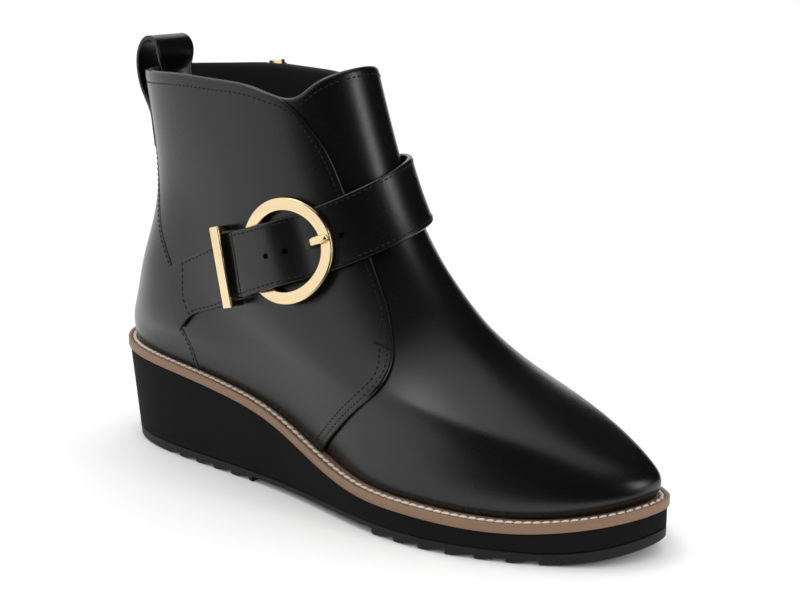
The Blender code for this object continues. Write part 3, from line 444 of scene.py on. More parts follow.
def centred(points):
    """Points with the origin moved from the heel to the middle of the welt."""
    return np.asarray(points, float) - (MIDDLE[0], MIDDLE[1], 0.0)


def linked(name, data):
    """Object for a mesh, a lamp or a camera, put in the scene."""
    body = bpy.data.objects.new(name, data)
    bpy.context.scene.collection.objects.link(body)
    return body


def new_object(name, points, faces, materials, slots=None, smooth=True):
    """Mesh object whose faces each have a material index."""
    mesh = bpy.data.meshes.new(name)
    mesh.from_pydata([tuple(p) for p in centred(points)], [], [tuple(map(int, f)) for f in faces])
    for finish in materials:
        mesh.materials.append(finish)
    if slots is not None:
        mesh.polygons.foreach_set("material_index", np.asarray(slots, np.int32))
    mesh.update()
    body = linked(name, mesh)
    face_out(body)
    if smooth:
        mesh.shade_smooth()
    return body


def face_out(body):
    """Turns the faces of a closed mesh outwards."""
    shape = bmesh.new()
    shape.from_mesh(body.data)
    bmesh.ops.recalc_face_normals(shape, faces=shape.faces[:])
    if shape.calc_volume(signed=True) < 0:
        bmesh.ops.reverse_faces(shape, faces=shape.faces[:])
    shape.to_mesh(body.data)
    shape.free()


def grid_faces(rows, columns, start, closed, flip=False):
    """Quads of a grid of points."""
    spans = columns if closed else columns - 1
    i, j = np.meshgrid(np.arange(rows - 1), np.arange(spans), indexing="ij")
    here, there = i * columns, (i + 1) * columns
    k = (j + 1) % columns
    quads = np.stack([here + j, here + k, there + k, there + j], -1).reshape(-1, 4) + start
    return quads[:, ::-1] if flip else quads


def wall(name, outer, inner, materials, closed=False, inner_slot=0):
    """Closed wall between two grids. The inner face takes its own material slot."""
    rows, columns = outer.shape[:2]
    half = rows * columns
    index = np.arange(half).reshape(rows, columns)
    faces = [grid_faces(rows, columns, 0, closed), grid_faces(rows, columns, half, closed, True)]
    slots = [np.zeros(len(faces[0]), int), np.full(len(faces[1]), inner_slot)]
    borders = [index[0], index[-1, ::-1]]
    if closed:
        borders = [np.append(line, line[0]) for line in borders]
    else:
        borders += [index[::-1, 0], index[:, -1]]
    for line in borders:
        faces.append(np.stack([line[1:], line[:-1], line[:-1] + half, line[1:] + half], 1))
        slots.append(np.zeros(len(faces[-1]), int))
    points = np.concatenate([outer.reshape(-1, 3), inner.reshape(-1, 3)])
    return new_object(name, points, np.concatenate(faces), materials, np.concatenate(slots))


def tube(name, rings, materials, ends=False):
    """Solid whose closed sections follow one another. It closes on itself without ends."""
    count, size = rings.shape[:2]
    faces = list(grid_faces(count, size, 0, True))
    if ends:
        faces += [tuple(range(size)), tuple(range(size * (count - 1), size * count))[::-1]]
    else:
        last = (count - 1) * size
        faces += [[last + j, last + (j + 1) % size, (j + 1) % size, j] for j in range(size)]
    return new_object(name, rings.reshape(-1, 3), faces, materials)


def roll(distance, radius):
    """Share of full thickness at a distance from a rolled edge."""
    t = 1 - np.clip(np.asarray(distance) / radius, 0, 1)
    return np.sqrt(np.clip(1 - t * t, 0, 1))


def drape(piece, node, body="boot"):
    """The piece stands for its solid, which it hides, and rides on its body."""
    if node:
        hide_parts(node)
    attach(piece, body)
    print(piece.name, len(piece.data.polygons), "faces")
    return piece


def edge_steps(length, count):
    """Distances along a piece, packed close together near its two rolled edges."""
    middle = np.linspace(ROLL_STEPS[-1], length - ROLL_STEPS[-1], count + 1)[1:-1]
    return np.concatenate([ROLL_STEPS, middle, length - ROLL_STEPS[::-1]])


def rising_shares(rows, length):
    """Shares of the way up, packed close together near the rolled top edge."""
    fine = 1 - ROLL_STEPS[::-1] / length
    return np.concatenate([np.linspace(0, fine[0], rows)[:-1], fine])


print("rows on a rolled edge:", len(ROLL_STEPS))

# %% [markdown]
# Full-grain calf has fine pores and faint hair cells, and its polish lies on top of
# them. Noise at three sizes through a Bump node gives the grain. Real leather is never
# equally glossy everywhere, so a slow noise moves the roughness a little as well.

# %% Shader helpers
def shader_material(name, colour, roughness, metallic=0.0, specular=0.5):
    """Material with one Principled shader. Its specular value is the shader's level."""
    made = bpy.data.materials.new(name)
    made.use_nodes = True
    shader = made.node_tree.nodes["Principled BSDF"]
    shader.inputs["Base Color"].default_value = (*colour, 1.0)
    shader.inputs["Roughness"].default_value = roughness
    shader.inputs["Metallic"].default_value = metallic
    shader.inputs["Specular IOR Level"].default_value = specular
    return made


def socket(tree, kind, name, side, value=None):
    """Socket on the outside of a node group."""
    made = tree.interface.new_socket(name, in_out=side, socket_type=kind)
    if value is not None:
        made.default_value = value
    return made


def math_node(tree, operation, *values):
    """Output of a Math node whose inputs are numbers or outputs of other nodes."""
    made = tree.nodes.new("ShaderNodeMath")
    made.operation = operation
    for k, value in enumerate(values):
        if isinstance(value, float):
            made.inputs[k].default_value = value
        else:
            tree.links.new(value, made.inputs[k])
    return made.outputs[0]


def grain_group():
    """Grain of a surface: fine pores, cells and a slow unevenness."""
    tree = bpy.data.node_groups.new("surface_grain", "ShaderNodeTree")
    measures = {"Pore Size": 0.0005, "Pore Depth": 0.5, "Roughness": 0.4, "Unevenness": 0.05}
    for name, value in measures.items():
        socket(tree, "NodeSocketFloat", name, "INPUT", value)
    for name in ("Roughness", "Height"):
        socket(tree, "NodeSocketFloat", name, "OUTPUT")
    nodes, links = tree.nodes, tree.links
    given = nodes.new("NodeGroupInput")
    result = nodes.new("NodeGroupOutput")
    place = nodes.new("ShaderNodeTexCoord")
    pores = nodes.new("ShaderNodeTexNoise")
    pores.inputs["Detail"].default_value = 3.0
    pores.inputs["Roughness"].default_value = 0.6
    cells = nodes.new("ShaderNodeTexVoronoi")
    cells.feature = "SMOOTH_F1"
    slow = nodes.new("ShaderNodeTexNoise")
    slow.inputs["Scale"].default_value = 26.0
    slow.inputs["Detail"].default_value = 4.0
    for texture in (pores, cells, slow):
        links.new(place.outputs["Object"], texture.inputs["Vector"])
    scale = math_node(tree, "DIVIDE", 1.0, given.outputs["Pore Size"])
    for texture in (pores, cells):
        links.new(scale, texture.inputs["Scale"])
    both = math_node(tree, "MULTIPLY_ADD", cells.outputs["Distance"], 0.45, pores.outputs["Fac"])
    links.new(math_node(tree, "MULTIPLY", both, given.outputs["Pore Depth"]), result.inputs["Height"])
    centre = math_node(tree, "SUBTRACT", slow.outputs["Fac"], 0.5)
    uneven, even = given.outputs["Unevenness"], given.outputs["Roughness"]
    links.new(math_node(tree, "MULTIPLY_ADD", centre, uneven, even), result.inputs["Roughness"])
    return tree


GRAIN = grain_group()
GRAIN_BUMP = 0.0001


def grained(name, colour, pore_size, pore_depth, roughness, unevenness, **shine):
    """Material with the grain group in it, and this finish's own values."""
    made = shader_material(name, colour, roughness, **shine)
    nodes, links = made.node_tree.nodes, made.node_tree.links
    grain = nodes.new("ShaderNodeGroup")
    grain.node_tree = GRAIN
    for label, value in (
        ("Pore Size", pore_size),
        ("Pore Depth", pore_depth),
        ("Roughness", roughness),
        ("Unevenness", unevenness),
    ):
        grain.inputs[label].default_value = value
    shader = nodes["Principled BSDF"]
    links.new(grain.outputs["Roughness"], shader.inputs["Roughness"])
    relief = nodes.new("ShaderNodeBump")
    relief.inputs["Distance"].default_value = GRAIN_BUMP
    relief.inputs["Strength"].default_value = 1.0
    links.new(grain.outputs["Height"], relief.inputs["Height"])
    links.new(relief.outputs["Normal"], shader.inputs["Normal"])
    return made


print("nodes in the grain:", len(GRAIN.nodes))

# %% [markdown]
# The boot has few materials: polished calf, a napped lining, sock leather, tan welt
# leather, foam, rubber, thread and a pale gold plating. One function makes them all, so
# their values stand side by side and are easy to compare.

# %% Finishes
# After the name and colour: pore size, pore depth, roughness and unevenness.
CALF = grained("black_calf", (0.0026, 0.0025, 0.0025), 0.00042, 0.40, 0.27, 0.08)
LINING = grained("black_lining", (0.006, 0.006, 0.006), 0.0007, 0.8, 0.70, 0.08, specular=0.25)
SOCK = grained("sock", (0.016, 0.015, 0.0145), 0.0008, 0.8, 0.70, 0.08)
WELT_TAN = grained("tan_welt", (0.205, 0.118, 0.068), 0.0006, 0.6, 0.55, 0.10)
FOAM = grained("black_foam", (0.0048, 0.0048, 0.005), 0.0009, 1.4, 0.82, 0.06, specular=0.12)
RUBBER = grained("black_rubber", (0.008, 0.008, 0.0083), 0.0009, 0.8, 0.60, 0.10, specular=0.25)
THREAD = shader_material("black_thread", (0.003, 0.003, 0.003), 0.6, specular=0.3)
WELT_THREAD = shader_material("cream_thread", (0.60, 0.54, 0.47), 0.65)
GOLD = grained("pale_gold", (0.83, 0.66, 0.40), 0.0011, 0.04, 0.17, 0.06, metallic=1.0)
TAPE = grained("zip_tape", (0.011, 0.011, 0.011), 0.0006, 1.5, 0.88, 0.05)
print("finishes:", len(bpy.data.materials))

# %% [markdown]
# Leather that has been lasted and worn a little creases where the foot bends. The
# creases could be sculpted, but a few listed as soft troughs stay easy to move.

# %% Creases
# Each crease: x and y of its ends as shares of length and ball width, half width, depth.
CREASES = (
    ((0.560, 0.34), (0.600, 0.10), 0.0050, 0.00030),
    ((0.615, -0.30), (0.660, -0.05), 0.0060, 0.00022),
    ((0.640, 0.36), (0.690, 0.12), 0.0060, 0.00025),
    ((0.480, 0.30), (0.500, 0.16), 0.0045, 0.00035),
)


def crease_depth(points):
    """Depth of the soft troughs at points of the form."""
    depth = np.zeros(points.shape[:-1])
    flat = points[..., :2]
    for start, end, width, deep in CREASES:
        start = np.array(start) * (SOLE_LENGTH, BALL_WIDTH)
        end = np.array(end) * (SOLE_LENGTH, BALL_WIDTH)
        way = end - start
        share = np.clip((flat - start) @ way / (way @ way), 0, 1)
        off = np.linalg.norm(flat - start - share[..., None] * way, axis=-1)
        fade = np.sin(math.pi * np.clip(share, 0.02, 0.98))
        depth += deep * fade * np.exp(-((off / width) ** 2))
    return depth


print("creases:", len(CREASES))

# %% [markdown]
# The vamp, the tongue and the lined shaft are one leather tube, open at the collar. It is
# the last's form sampled finely, a wall as thick as leather and lining together. Its
# inner face takes the lining's finish, and its top edge is rolled.

# %% Upper
SHAFT_WALL_LENGTH = 0.12
UPPER_ROWS, UPPER_COLUMNS = 110, 300


def shell_normals(angles, levels):
    """Normals of the form, level at the feather edge, as the solid's rows are."""
    normal = outward(angles, levels)
    normal[0, :, 2] = 0
    return unit(normal)


def make_upper():
    angles = np.arange(UPPER_COLUMNS) * 2 * math.pi / UPPER_COLUMNS
    shares = rising_shares(UPPER_ROWS, SHAFT_WALL_LENGTH)
    levels = shares[:, None] * top_level(angles)[None, :]
    angles = np.broadcast_to(angles, levels.shape)
    from_top = (1 - shares) * SHAFT_WALL_LENGTH
    base = form(angles, levels)
    normal = shell_normals(angles, levels)
    half = UPPER_WALL / 2
    rounding = roll(from_top, EDGE_ROLL)[:, None, None]
    base = base - normal * crease_depth(base)[..., None]
    middle = base - normal * half
    outer = middle + normal * half * rounding
    inner = middle - normal * half * rounding
    upper = wall("upper_leather", outer, inner, [CALF, LINING], closed=True, inner_slot=1)
    return drape(upper, "upper")


make_upper()

# %% [markdown]
# The two quarters and the back panel are cut from the same calf and lie over the upper.
# Their edges are turned, so each ends in a soft roll. The grid follows the pattern
# lines, which puts rows of points exactly along every edge.

# %% Panels over the form
PANEL_ROWS, PANEL_COLUMNS, PANEL_SAMPLES = 100, 90, 60


def seam_angles(table, side):
    """Share of the way up and angle along a pattern line on one side."""
    line = pattern_line(table)
    line = line[(line[:, 1] > 0.07 * SHAFT_HEIGHT) & (line[:, 1] < 0.992 * SHAFT_HEIGHT)]
    angles, levels = from_side(line, side)
    shares = levels / top_level(angles)
    order = np.argsort(shares)
    return shares[order], angles[order]


def panel(name, left, right, height, rolled):
    """Panel between two boundaries, each a share-to-angle line, at a height over the form."""
    low, high = height
    shares = rising_shares(PANEL_ROWS, SHAFT_WALL_LENGTH)
    angles, levels, lengths = [], [], []
    for share in shares:
        dense = np.linspace(np.interp(share, *left), np.interp(share, *right), PANEL_SAMPLES)
        at = share * top_level(dense)
        points = form(dense, at)
        run = walked(points)
        steps = edge_steps(run[-1], PANEL_COLUMNS)
        angles.append(np.interp(steps, run, dense))
        levels.append(np.interp(steps, run, at))
        lengths.append(steps)
    angles, levels, lengths = np.array(angles), np.array(levels), np.array(lengths)
    from_left = lengths if rolled[0] else np.ones_like(lengths)
    from_right = lengths[:, -1:] - lengths if rolled[1] else np.ones_like(lengths)
    from_top = ((1 - shares) * SHAFT_WALL_LENGTH)[:, None]
    rounding = roll(np.minimum(from_left, from_right), EDGE_ROLL) * roll(from_top, EDGE_ROLL)
    rounding = rounding[..., None]
    base = form(angles, levels)
    normal = shell_normals(angles, levels)
    middle = base + normal * (low + high) / 2
    outer = middle + normal * (high - low) / 2 * rounding
    inner = middle - normal * (high - low) / 2 * rounding
    return wall(name, outer, inner, [CALF])


OVERLAY = (SEAM_GAP, SEAM_GAP + OVERLAY_THICKNESS)
COUNTER = (SEAM_GAP, SEAM_GAP + COUNTER_THICKNESS)
counter_outer = seam_angles(COUNTER_SEAM, -1)
counter_inner = seam_angles(COUNTER_SEAM, 1)
quarter_outer = seam_angles(QUARTER_EDGE, -1)
quarter_inner = seam_angles(QUARTER_EDGE, 1)
outer_quarter = panel("outer_quarter", counter_outer, quarter_outer, OVERLAY, (False, True))
drape(outer_quarter, "quarter_outer")
back_panel = panel("back_panel", counter_outer, counter_inner, COUNTER, (True, True))
drape(back_panel, "heel_counter")

# %% [markdown]
# The zip opens the inner side, so the inner quarter has a slot for it. The slot follows
# the zip's line from the collar down, and is cut with a prism after the panel is made.

# %% Cutting and bevelling
def baked(body, kind, **settings):
    """Applies one modifier and leaves a plain mesh."""
    modifier = body.modifiers.new("work", kind)
    for key, value in settings.items():
        setattr(modifier, key, value)
    bpy.context.view_layer.update()
    seen = body.evaluated_get(bpy.context.evaluated_depsgraph_get())
    mesh = bpy.data.meshes.new_from_object(seen)
    body.modifiers.clear()
    body.data = mesh
    mesh.set_sharp_from_angle(angle=SHARP_ANGLE)
    return body


def carve(body, cutter):
    """Cuts one mesh out of another and takes the cutter away."""
    baked(body, "BOOLEAN", operation="DIFFERENCE", solver="EXACT", object=cutter)
    bpy.data.objects.remove(cutter, do_unlink=True)
    return body


def prisms(name, lines, low_y, high_y):
    """Closed prisms across the boot over closed lines seen from the side."""
    points, faces = [], []
    for line in lines:
        count, start = len(line), len(points)
        points += [(x, low_y, z) for x, z in line] + [(x, high_y, z) for x, z in line]
        faces.append(list(range(start, start + count)))
        faces.append(list(range(start + count, start + 2 * count))[::-1])
        faces += [
            [start + i, start + (i + 1) % count, start + count + (i + 1) % count, start + count + i]
            for i in range(count)
        ]
    return new_object(name, points, faces, [CALF], smooth=False)


zip_line = pattern_line(ZIP_LINE, 40)[::-1]
slot_line = [(x - ZIP_SLOT_WIDTH / 2, z) for x, z in zip_line]
slot_line += [(x + ZIP_SLOT_WIDTH / 2, z) for x, z in zip_line[::-1]]
inner_quarter = panel("inner_quarter", counter_inner, quarter_inner, OVERLAY, (False, True))
carve(inner_quarter, prisms("zip_slot", [slot_line], SEAM_GAP, BALL_WIDTH))
drape(inner_quarter, "quarter_inner")

# %% [markdown]
# A strap is a flat band bent round the ankle, and it keeps its width as it bends. Its
# rows are measured on the form, square to the strap's middle line.

# %% Strap line
STRAP_PLANE = unit((-STRAP_CLIMB_ALONG, -STRAP_CLIMB_ACROSS, 1.0))
STRAP_SEAT = SEAM_GAP + OVERLAY_THICKNESS + STRAP_PLAY
OVER_SHORT = STRAP_SEAT + STRAP_THICKNESS + SEAM_GAP
OVER_LONG = OVER_SHORT + STRAP_THICKNESS + SEAM_GAP
RING_MIDDLE_RADIUS = RING_OUTER_RADIUS - RING_FACE / 2


class Seat:
    """Places on the form: directions along the strap, across it and out."""

    def __init__(self, angles, levels):
        self.start = angles, levels
        self.middle, self.out = form(angles, levels), outward(angles, levels)
        self.along = unit(np.cross(STRAP_PLANE, self.out))
        self.across = np.cross(self.out, self.along)

    def on(self, reach, aside):
        """Angles and levels under places of the tangent plane."""
        reach, aside = np.broadcast_arrays(np.asarray(reach, float), aside)

        def measure(points):
            away = points - self.middle
            return np.stack([(away * self.along).sum(-1), (away * self.across).sum(-1)], -1)

        start = [np.broadcast_to(value, reach.shape) for value in self.start]
        return on_form(measure, np.stack([reach, aside], -1), *start)

    def over(self, reach, aside=0.0):
        """Height of the form over the tangent plane."""
        return ((form(*self.on(reach, aside)) - self.middle) * self.out).sum(-1)

    def point(self, reach, aside, height):
        reach, aside, height = (np.asarray(v, float)[..., None] for v in (reach, aside, height))
        return self.middle + self.along * reach + self.across * aside + self.out * height


buckle_spot = from_side([(BUCKLE_X * SOLE_LENGTH, BUCKLE_Z * SHAFT_HEIGHT)], -1)
buckle = Seat(buckle_spot[0][0], buckle_spot[1][0])


def strap_track():
    """Distance along the strap's middle line from the buckle, with angle and level."""
    angles = np.linspace(-0.55, STRAP_ROOT_ANGLE - 2 * math.pi - 0.1, 400)
    dense = np.linspace(0.2, 0.95, 120)
    above = (form(angles[:, None], dense[None, :]) - buckle.middle) @ STRAP_PLANE
    levels = np.array([np.interp(0.0, above[k], dense) for k in range(len(angles))])
    points = form(angles, levels)
    run = walked(points)
    here = np.argmin(np.linalg.norm(points - buckle.middle, axis=1))
    near = slice(here - 2, here + 3)
    start = np.interp(0.0, (points[near] - buckle.middle) @ buckle.along, run[near])
    return run - start, angles, levels


TRACK = strap_track()


def strap_seat(runs):
    return Seat(np.interp(runs, TRACK[0], TRACK[1]), np.interp(runs, TRACK[0], TRACK[2]))


def strap_points(runs, asides):
    """Points and normals of the form at distances along and across the strap."""
    runs, asides = np.broadcast_arrays(np.asarray(runs, float), asides)
    spots = strap_seat(runs).on(0.0 * asides, asides)
    return form(*spots), outward(*spots)


def ring_height(reach):
    """Underside of the ring over the form: it leans up to let the strap pass below."""
    low = STRAP_SEAT + RING_BACK_LIFT
    high = STRAP_SEAT + STRAP_THICKNESS + SEAM_GAP + RING_FRONT_LIFT
    return low + (high - low) * (reach + RING_PASS) / (2 * RING_PASS)


def strap_height(reach):
    """Underside of the long strap over the form."""
    up = smooth_step((RING_PASS - reach) / (2 * RING_PASS))
    over_ring = ring_height(np.clip(reach, -RING_OUTER_RADIUS, -RING_PASS))
    over_ring = over_ring + RING_THICKNESS + 2 * SEAM_GAP
    down = smooth_step((-RING_OUTER_RADIUS - SEAM_GAP - reach) / STRAP_FALL_RUN)
    return STRAP_SEAT + (over_ring - STRAP_SEAT) * up + (OVER_SHORT - over_ring) * down


def band(name, runs, asides, low, rounding):
    """Band of leather along the strap's line, thinner where its edges round off."""
    base, normal = strap_points(runs, asides)
    middle = base + normal * (low + STRAP_THICKNESS / 2)
    half = normal * (STRAP_THICKNESS / 2 * rounding)[..., None]
    return wall(name, middle + half, middle - half, [CALF])


print("strap runs from", round(TRACK[0].min(), 3), "to", round(TRACK[0].max(), 3), "m")

# %% [markdown]
# The long strap starts at the inner seam, crosses the instep and passes through the
# buckle. It is one band whose height over the form rises over the ring's back and falls
# again behind it. Its holes are punched with round bars.

# %% Long strap
STRAP_COLUMNS = 18
STRAP_TIP = -KEEPER_REACH - KEEPER_BAR / 2
STRAP_HOLES = (-1, 0, 3)
STRAP_ROLL = 0.0007


def peg(name, start, end, radius, count=24):
    """Round bar between two points."""
    way = unit(end - start)
    aside = unit(np.cross(way, (0.31, 0.17, 0.94)))
    turn = np.arange(count) * 2 * math.pi / count
    rim = radius * (np.cos(turn)[:, None] * aside + np.sin(turn)[:, None] * np.cross(way, aside))
    return tube(name, np.array([start + rim, end + rim]), [GOLD], ends=True)


def make_long_strap():
    runs = STRAP_TIP + edge_steps(STRAP_REACH - STRAP_TIP, 120)
    across = edge_steps(STRAP_WIDTH, STRAP_COLUMNS)
    rounding = roll(np.minimum(across, STRAP_WIDTH - across), STRAP_ROLL)[None, :]
    rounding = rounding * roll(np.minimum(runs - runs[0], runs[-1] - runs), STRAP_ROLL)[:, None]
    low = strap_height(runs)[:, None, None]
    strap = band("instep_strap", runs[:, None], across - STRAP_WIDTH / 2, low, rounding)
    for k in STRAP_HOLES:
        run = k * STRAP_HOLE_PITCH
        height = buckle.over(run)
        ends = [buckle.point(run, 0.0, height + rise) for rise in (0.0, STRAP_WIDTH / 2)]
        carve(strap, peg("strap_hole", *ends, STRAP_HOLE_RADIUS))
    return drape(strap, "strap_long")


make_long_strap()

# %% [markdown]
# The rear strap holds the buckle. It comes out of the back panel's seam and gets a little
# narrower towards the ring, so its lanes fan out from the strap's line. Its rear end
# follows the seam, lane by lane.

# %% Rear strap
# Share of the way back from the ring, upper and lower edge as shares of the strap width.
SHORT_STRAP = (
    (0.00, 0.445, -0.430),
    (0.27, 0.375, -0.545),
    (0.56, 0.275, -0.615),
    (0.81, 0.190, -0.697),
    (0.90, 0.150, -0.800),
    (1.00, 0.120, -0.870),
)
SHORT_STRAP_REACH = 0.0530
REAR_FRONT = -RING_OUTER_RADIUS - SEAM_GAP


def rear_aside(runs, lanes):
    """Distance across the strap of a lane, 0 at the lower edge and 1 at the upper."""
    share, upper, lower = np.array(SHORT_STRAP).T
    way = np.clip((REAR_FRONT - runs) / SHORT_STRAP_REACH, 0, 1)
    edges = STRAP_WIDTH * spline(share, np.stack([lower, upper], 1), way)
    return edges[..., 0] + (edges[..., 1] - edges[..., 0]) * lanes


def rear_ends(lanes, count=60):
    """Distance along at which each lane meets the back panel's seam."""
    runs = np.linspace(REAR_FRONT, REAR_FRONT - SHORT_STRAP_REACH, count)[:, None]
    points, _ = strap_points(runs, rear_aside(runs + 0 * lanes, lanes))
    seam = pattern_line(COUNTER_SEAM)[::-1]
    ahead = points[..., 0] - np.interp(points[..., 2], seam[:, 1], seam[:, 0]) - STRAP_PLAY
    return np.array([np.interp(0.0, ahead[::-1, k], runs[::-1, 0]) for k in range(len(lanes))])


def make_short_strap():
    lanes = edge_steps(STRAP_WIDTH, STRAP_COLUMNS) / STRAP_WIDTH
    ends = rear_ends(lanes)
    length = REAR_FRONT - ends.mean()
    steps = edge_steps(length, 50)[:, None] / length
    runs = REAR_FRONT + (ends - REAR_FRONT) * steps
    asides = rear_aside(runs, lanes)
    rounding = roll(np.minimum(lanes, 1 - lanes) * STRAP_WIDTH, STRAP_ROLL)[None, :]
    rounding = rounding * roll(steps * length, STRAP_ROLL)
    return drape(band("rear_strap", runs, asides, STRAP_SEAT, rounding), "strap_short")


make_short_strap()

# %% [markdown]
# The buckle is cast metal: a round ring with a slightly domed face, a prong through a
# hole of the strap, and a square loop that keeps the strap's end down.

# %% Buckle ring
RING_ROUND = 0.00065


def rounded_section(half_width, half_height, radius, steps=5):
    """Corners of a rectangle with round corners."""
    section = []
    for quarter, (x, y) in enumerate(((1, 1), (-1, 1), (-1, -1), (1, -1))):
        turn = (quarter + np.linspace(0, 1, steps)) * math.pi / 2
        corner = np.array([x * (half_width - radius), y * (half_height - radius)])
        section.append(corner + radius * np.stack([np.cos(turn), np.sin(turn)], 1))
    return np.concatenate(section)


def make_ring(count=160):
    section = rounded_section(RING_FACE / 2, RING_THICKNESS / 2, RING_ROUND)
    turn = np.arange(count)[:, None] * 2 * math.pi / count
    run, aside = RING_MIDDLE_RADIUS * np.cos(turn), RING_MIDDLE_RADIUS * np.sin(turn)
    rise = buckle.over(run, aside) + ring_height(run) + RING_THICKNESS / 2
    out = RING_MIDDLE_RADIUS + section[None, :, 0]
    rings = buckle.point(out * np.cos(turn), out * np.sin(turn), rise + section[None, :, 1])
    return drape(tube("ring", rings, [GOLD]), "buckle_ring")


make_ring()

# %% [markdown]
# The prong is one bent wire with a flat shank. It lies under the strap, comes up through
# a hole and rests on the ring's front. Its path is a row of rounded sections.

# %% Prong
SHANK_PLAY = 0.0001
PRONG_TIP_SHARE = 0.55
PRONG_TIP_ROWS = 4
SECTION_ROUND = 0.45


def prong_path(count=8):
    """Middle line of the prong: a thin shank under the strap, then up onto the ring."""
    inner = RING_OUTER_RADIUS - RING_FACE
    flat = STRAP_SEAT + SHANK_PLAY + SHANK_THICKNESS / 2
    runs = np.linspace(-inner + SEAM_GAP * 2, PRONG_RISE_START, count)
    rows = [(run, buckle.over(run) + flat, SHANK_THICKNESS) for run in runs]
    tops = [buckle.over(run) + ring_height(run) for run in (inner, RING_OUTER_RADIUS)]
    rest = max(tops) + RING_THICKNESS + SEAM_GAP + PRONG_THICKNESS / 2
    rise = buckle.over(PRONG_RISE_START) + flat
    for share in np.linspace(0.1, 0.9, 9):
        lift = rise + (rest - rise) * float(smooth_step(share))
        thick = SHANK_THICKNESS + (PRONG_THICKNESS - SHANK_THICKNESS) * share
        rows.append((PRONG_RISE_START + share * PRONG_RISE_RUN, lift, thick))
    for run in np.linspace(PRONG_RISE_START + PRONG_RISE_RUN, RING_OUTER_RADIUS - SEAM_GAP, 8):
        rows.append((run, rest, PRONG_THICKNESS))
    return np.array(rows, float)


def make_prong():
    """Prong whose sections get narrower over the last rows, up to a thin tip."""
    path = prong_path()
    way = unit(np.gradient(path[:, :2], axis=0))
    rings = []
    for k, (run, rise, thick) in enumerate(path):
        from_tip = min(1.0, (len(path) - 1 - k) / PRONG_TIP_ROWS)
        width = PRONG_WIDTH * (PRONG_TIP_SHARE + (1 - PRONG_TIP_SHARE) * from_tip)
        if k == len(path) - 1:
            thick = thick * SECTION_ROUND
        section = rounded_section(width / 2, thick / 2, min(thick, width) * SECTION_ROUND)
        runs = run - way[k, 1] * section[:, 1]
        rings.append(buckle.point(runs, section[:, 0], rise + way[k, 0] * section[:, 1]))
    return drape(tube("prong", np.array(rings), [GOLD], ends=True), "buckle_prong")


make_prong()

# %% [markdown]
# The keeper is a square loop of flat bar that presses both straps down. Its outline is
# drawn across the strap, pushed out along it by the bar's width and then bevelled.

# %% Keeper
def make_keeper():
    seat = strap_seat(-KEEPER_REACH)
    half = KEEPER_THICKNESS / 2
    leg = STRAP_WIDTH / 2 + SEAM_GAP + half + KEEPER_PLAY
    runs = (-KEEPER_BAR / 2, 0.0, KEEPER_BAR / 2)
    asides = (-STRAP_WIDTH / 2, 0.0, STRAP_WIDTH / 2)
    top = max(float(seat.over(run, aside)) for run in runs for aside in asides)
    top += OVER_LONG + half + KEEPER_PLAY
    low = []
    for side in (-1, 1):
        low.append(max(float(seat.over(run, side * leg)) for run in runs) + STRAP_SEAT + KEEPER_PLAY)
    line = [
        (-leg - half, low[0]),
        (-leg - half, top + half),
        (leg + half, top + half),
        (leg + half, low[1]),
        (leg - half, low[1]),
        (leg - half, top - half),
        (-leg + half, top - half),
        (-leg + half, low[0]),
    ]
    points = [seat.point(run, aside, rise) for run in (runs[0], runs[-1]) for aside, rise in line]
    faces = [list(range(8)), list(range(8, 16))[::-1]]
    faces += [[k, (k + 1) % 8, 8 + (k + 1) % 8, 8 + k] for k in range(8)]
    keeper = new_object("keeper", points, faces, [GOLD])
    baked(keeper, "BEVEL", width=0.0005, segments=3, limit_method="ANGLE")
    return drape(keeper, "buckle_keeper")


make_keeper()

# %% [markdown]
# The pull loop is one strip. It is sewn down the back, stands up over the collar and
# goes down again inside the boot, where its other tail is sewn to the lining.

# %% Pull loop
LOOP_ROLL = 0.0006


def on_back(up, across, height):
    """Row of points across the back, at a share of the shaft height."""
    start = 0.3 * np.sign(across) + 1e-3, np.full(len(across), 0.9)
    target = np.stack([across, np.full(len(across), up * SHAFT_HEIGHT)], -1)
    spots = on_form(lambda points: points[..., [1, 2]], target, *start)
    return form(*spots) + outward(*spots) * height


def loop_rows(across):
    """Middle rows of the loop, from the outer tail over the top to the inner tail."""
    outside = SEAM_GAP + COUNTER_THICKNESS + LOOP_PLAY + LOOP_THICKNESS / 2
    inside = -(UPPER_WALL + LOOP_PLAY + LOOP_THICKNESS / 2)
    rows = [on_back(up, across, outside) for up in np.linspace(LOOP_TAIL_LOW, LOOP_TAIL_HIGH, 4)]
    for x, z in PULL_LOOP:
        rows.append(np.stack([0 * across + SOLE_LENGTH * x, across, 0 * across + SHAFT_HEIGHT * z], -1))
    rows += [on_back(up, across, inside) for up in np.linspace(LOOP_INSIDE_HIGH, LOOP_INSIDE_LOW, 4)]
    rows = np.array(rows)
    middle = rows[:, rows.shape[1] // 2]
    return walked(middle), rows


def make_pull_loop():
    across = edge_steps(LOOP_WIDTH, 14) - LOOP_WIDTH / 2
    run, rows = loop_rows(across)
    steps = edge_steps(run[-1], 110)
    rows = spline(run, rows, steps)
    normal = unit(np.cross(np.gradient(rows, axis=0), np.gradient(rows, axis=1)))
    from_side_edge = np.minimum(across + LOOP_WIDTH / 2, LOOP_WIDTH / 2 - across)
    rounding = roll(from_side_edge, LOOP_ROLL)[None, :]
    rounding = rounding * roll(np.minimum(steps, run[-1] - steps), LOOP_ROLL)[:, None]
    half = normal * (LOOP_THICKNESS / 2 * rounding)[..., None]
    return drape(wall("heel_pull_loop", rows + half, rows - half, [CALF]), "pull_loop")


make_pull_loop()

# %% [markdown]
# The sole is a foam wedge on a thin rubber outsole, and a leather welt lies round the
# wedge's top. Their sides follow the ground plan, with small insets and a heel taper.

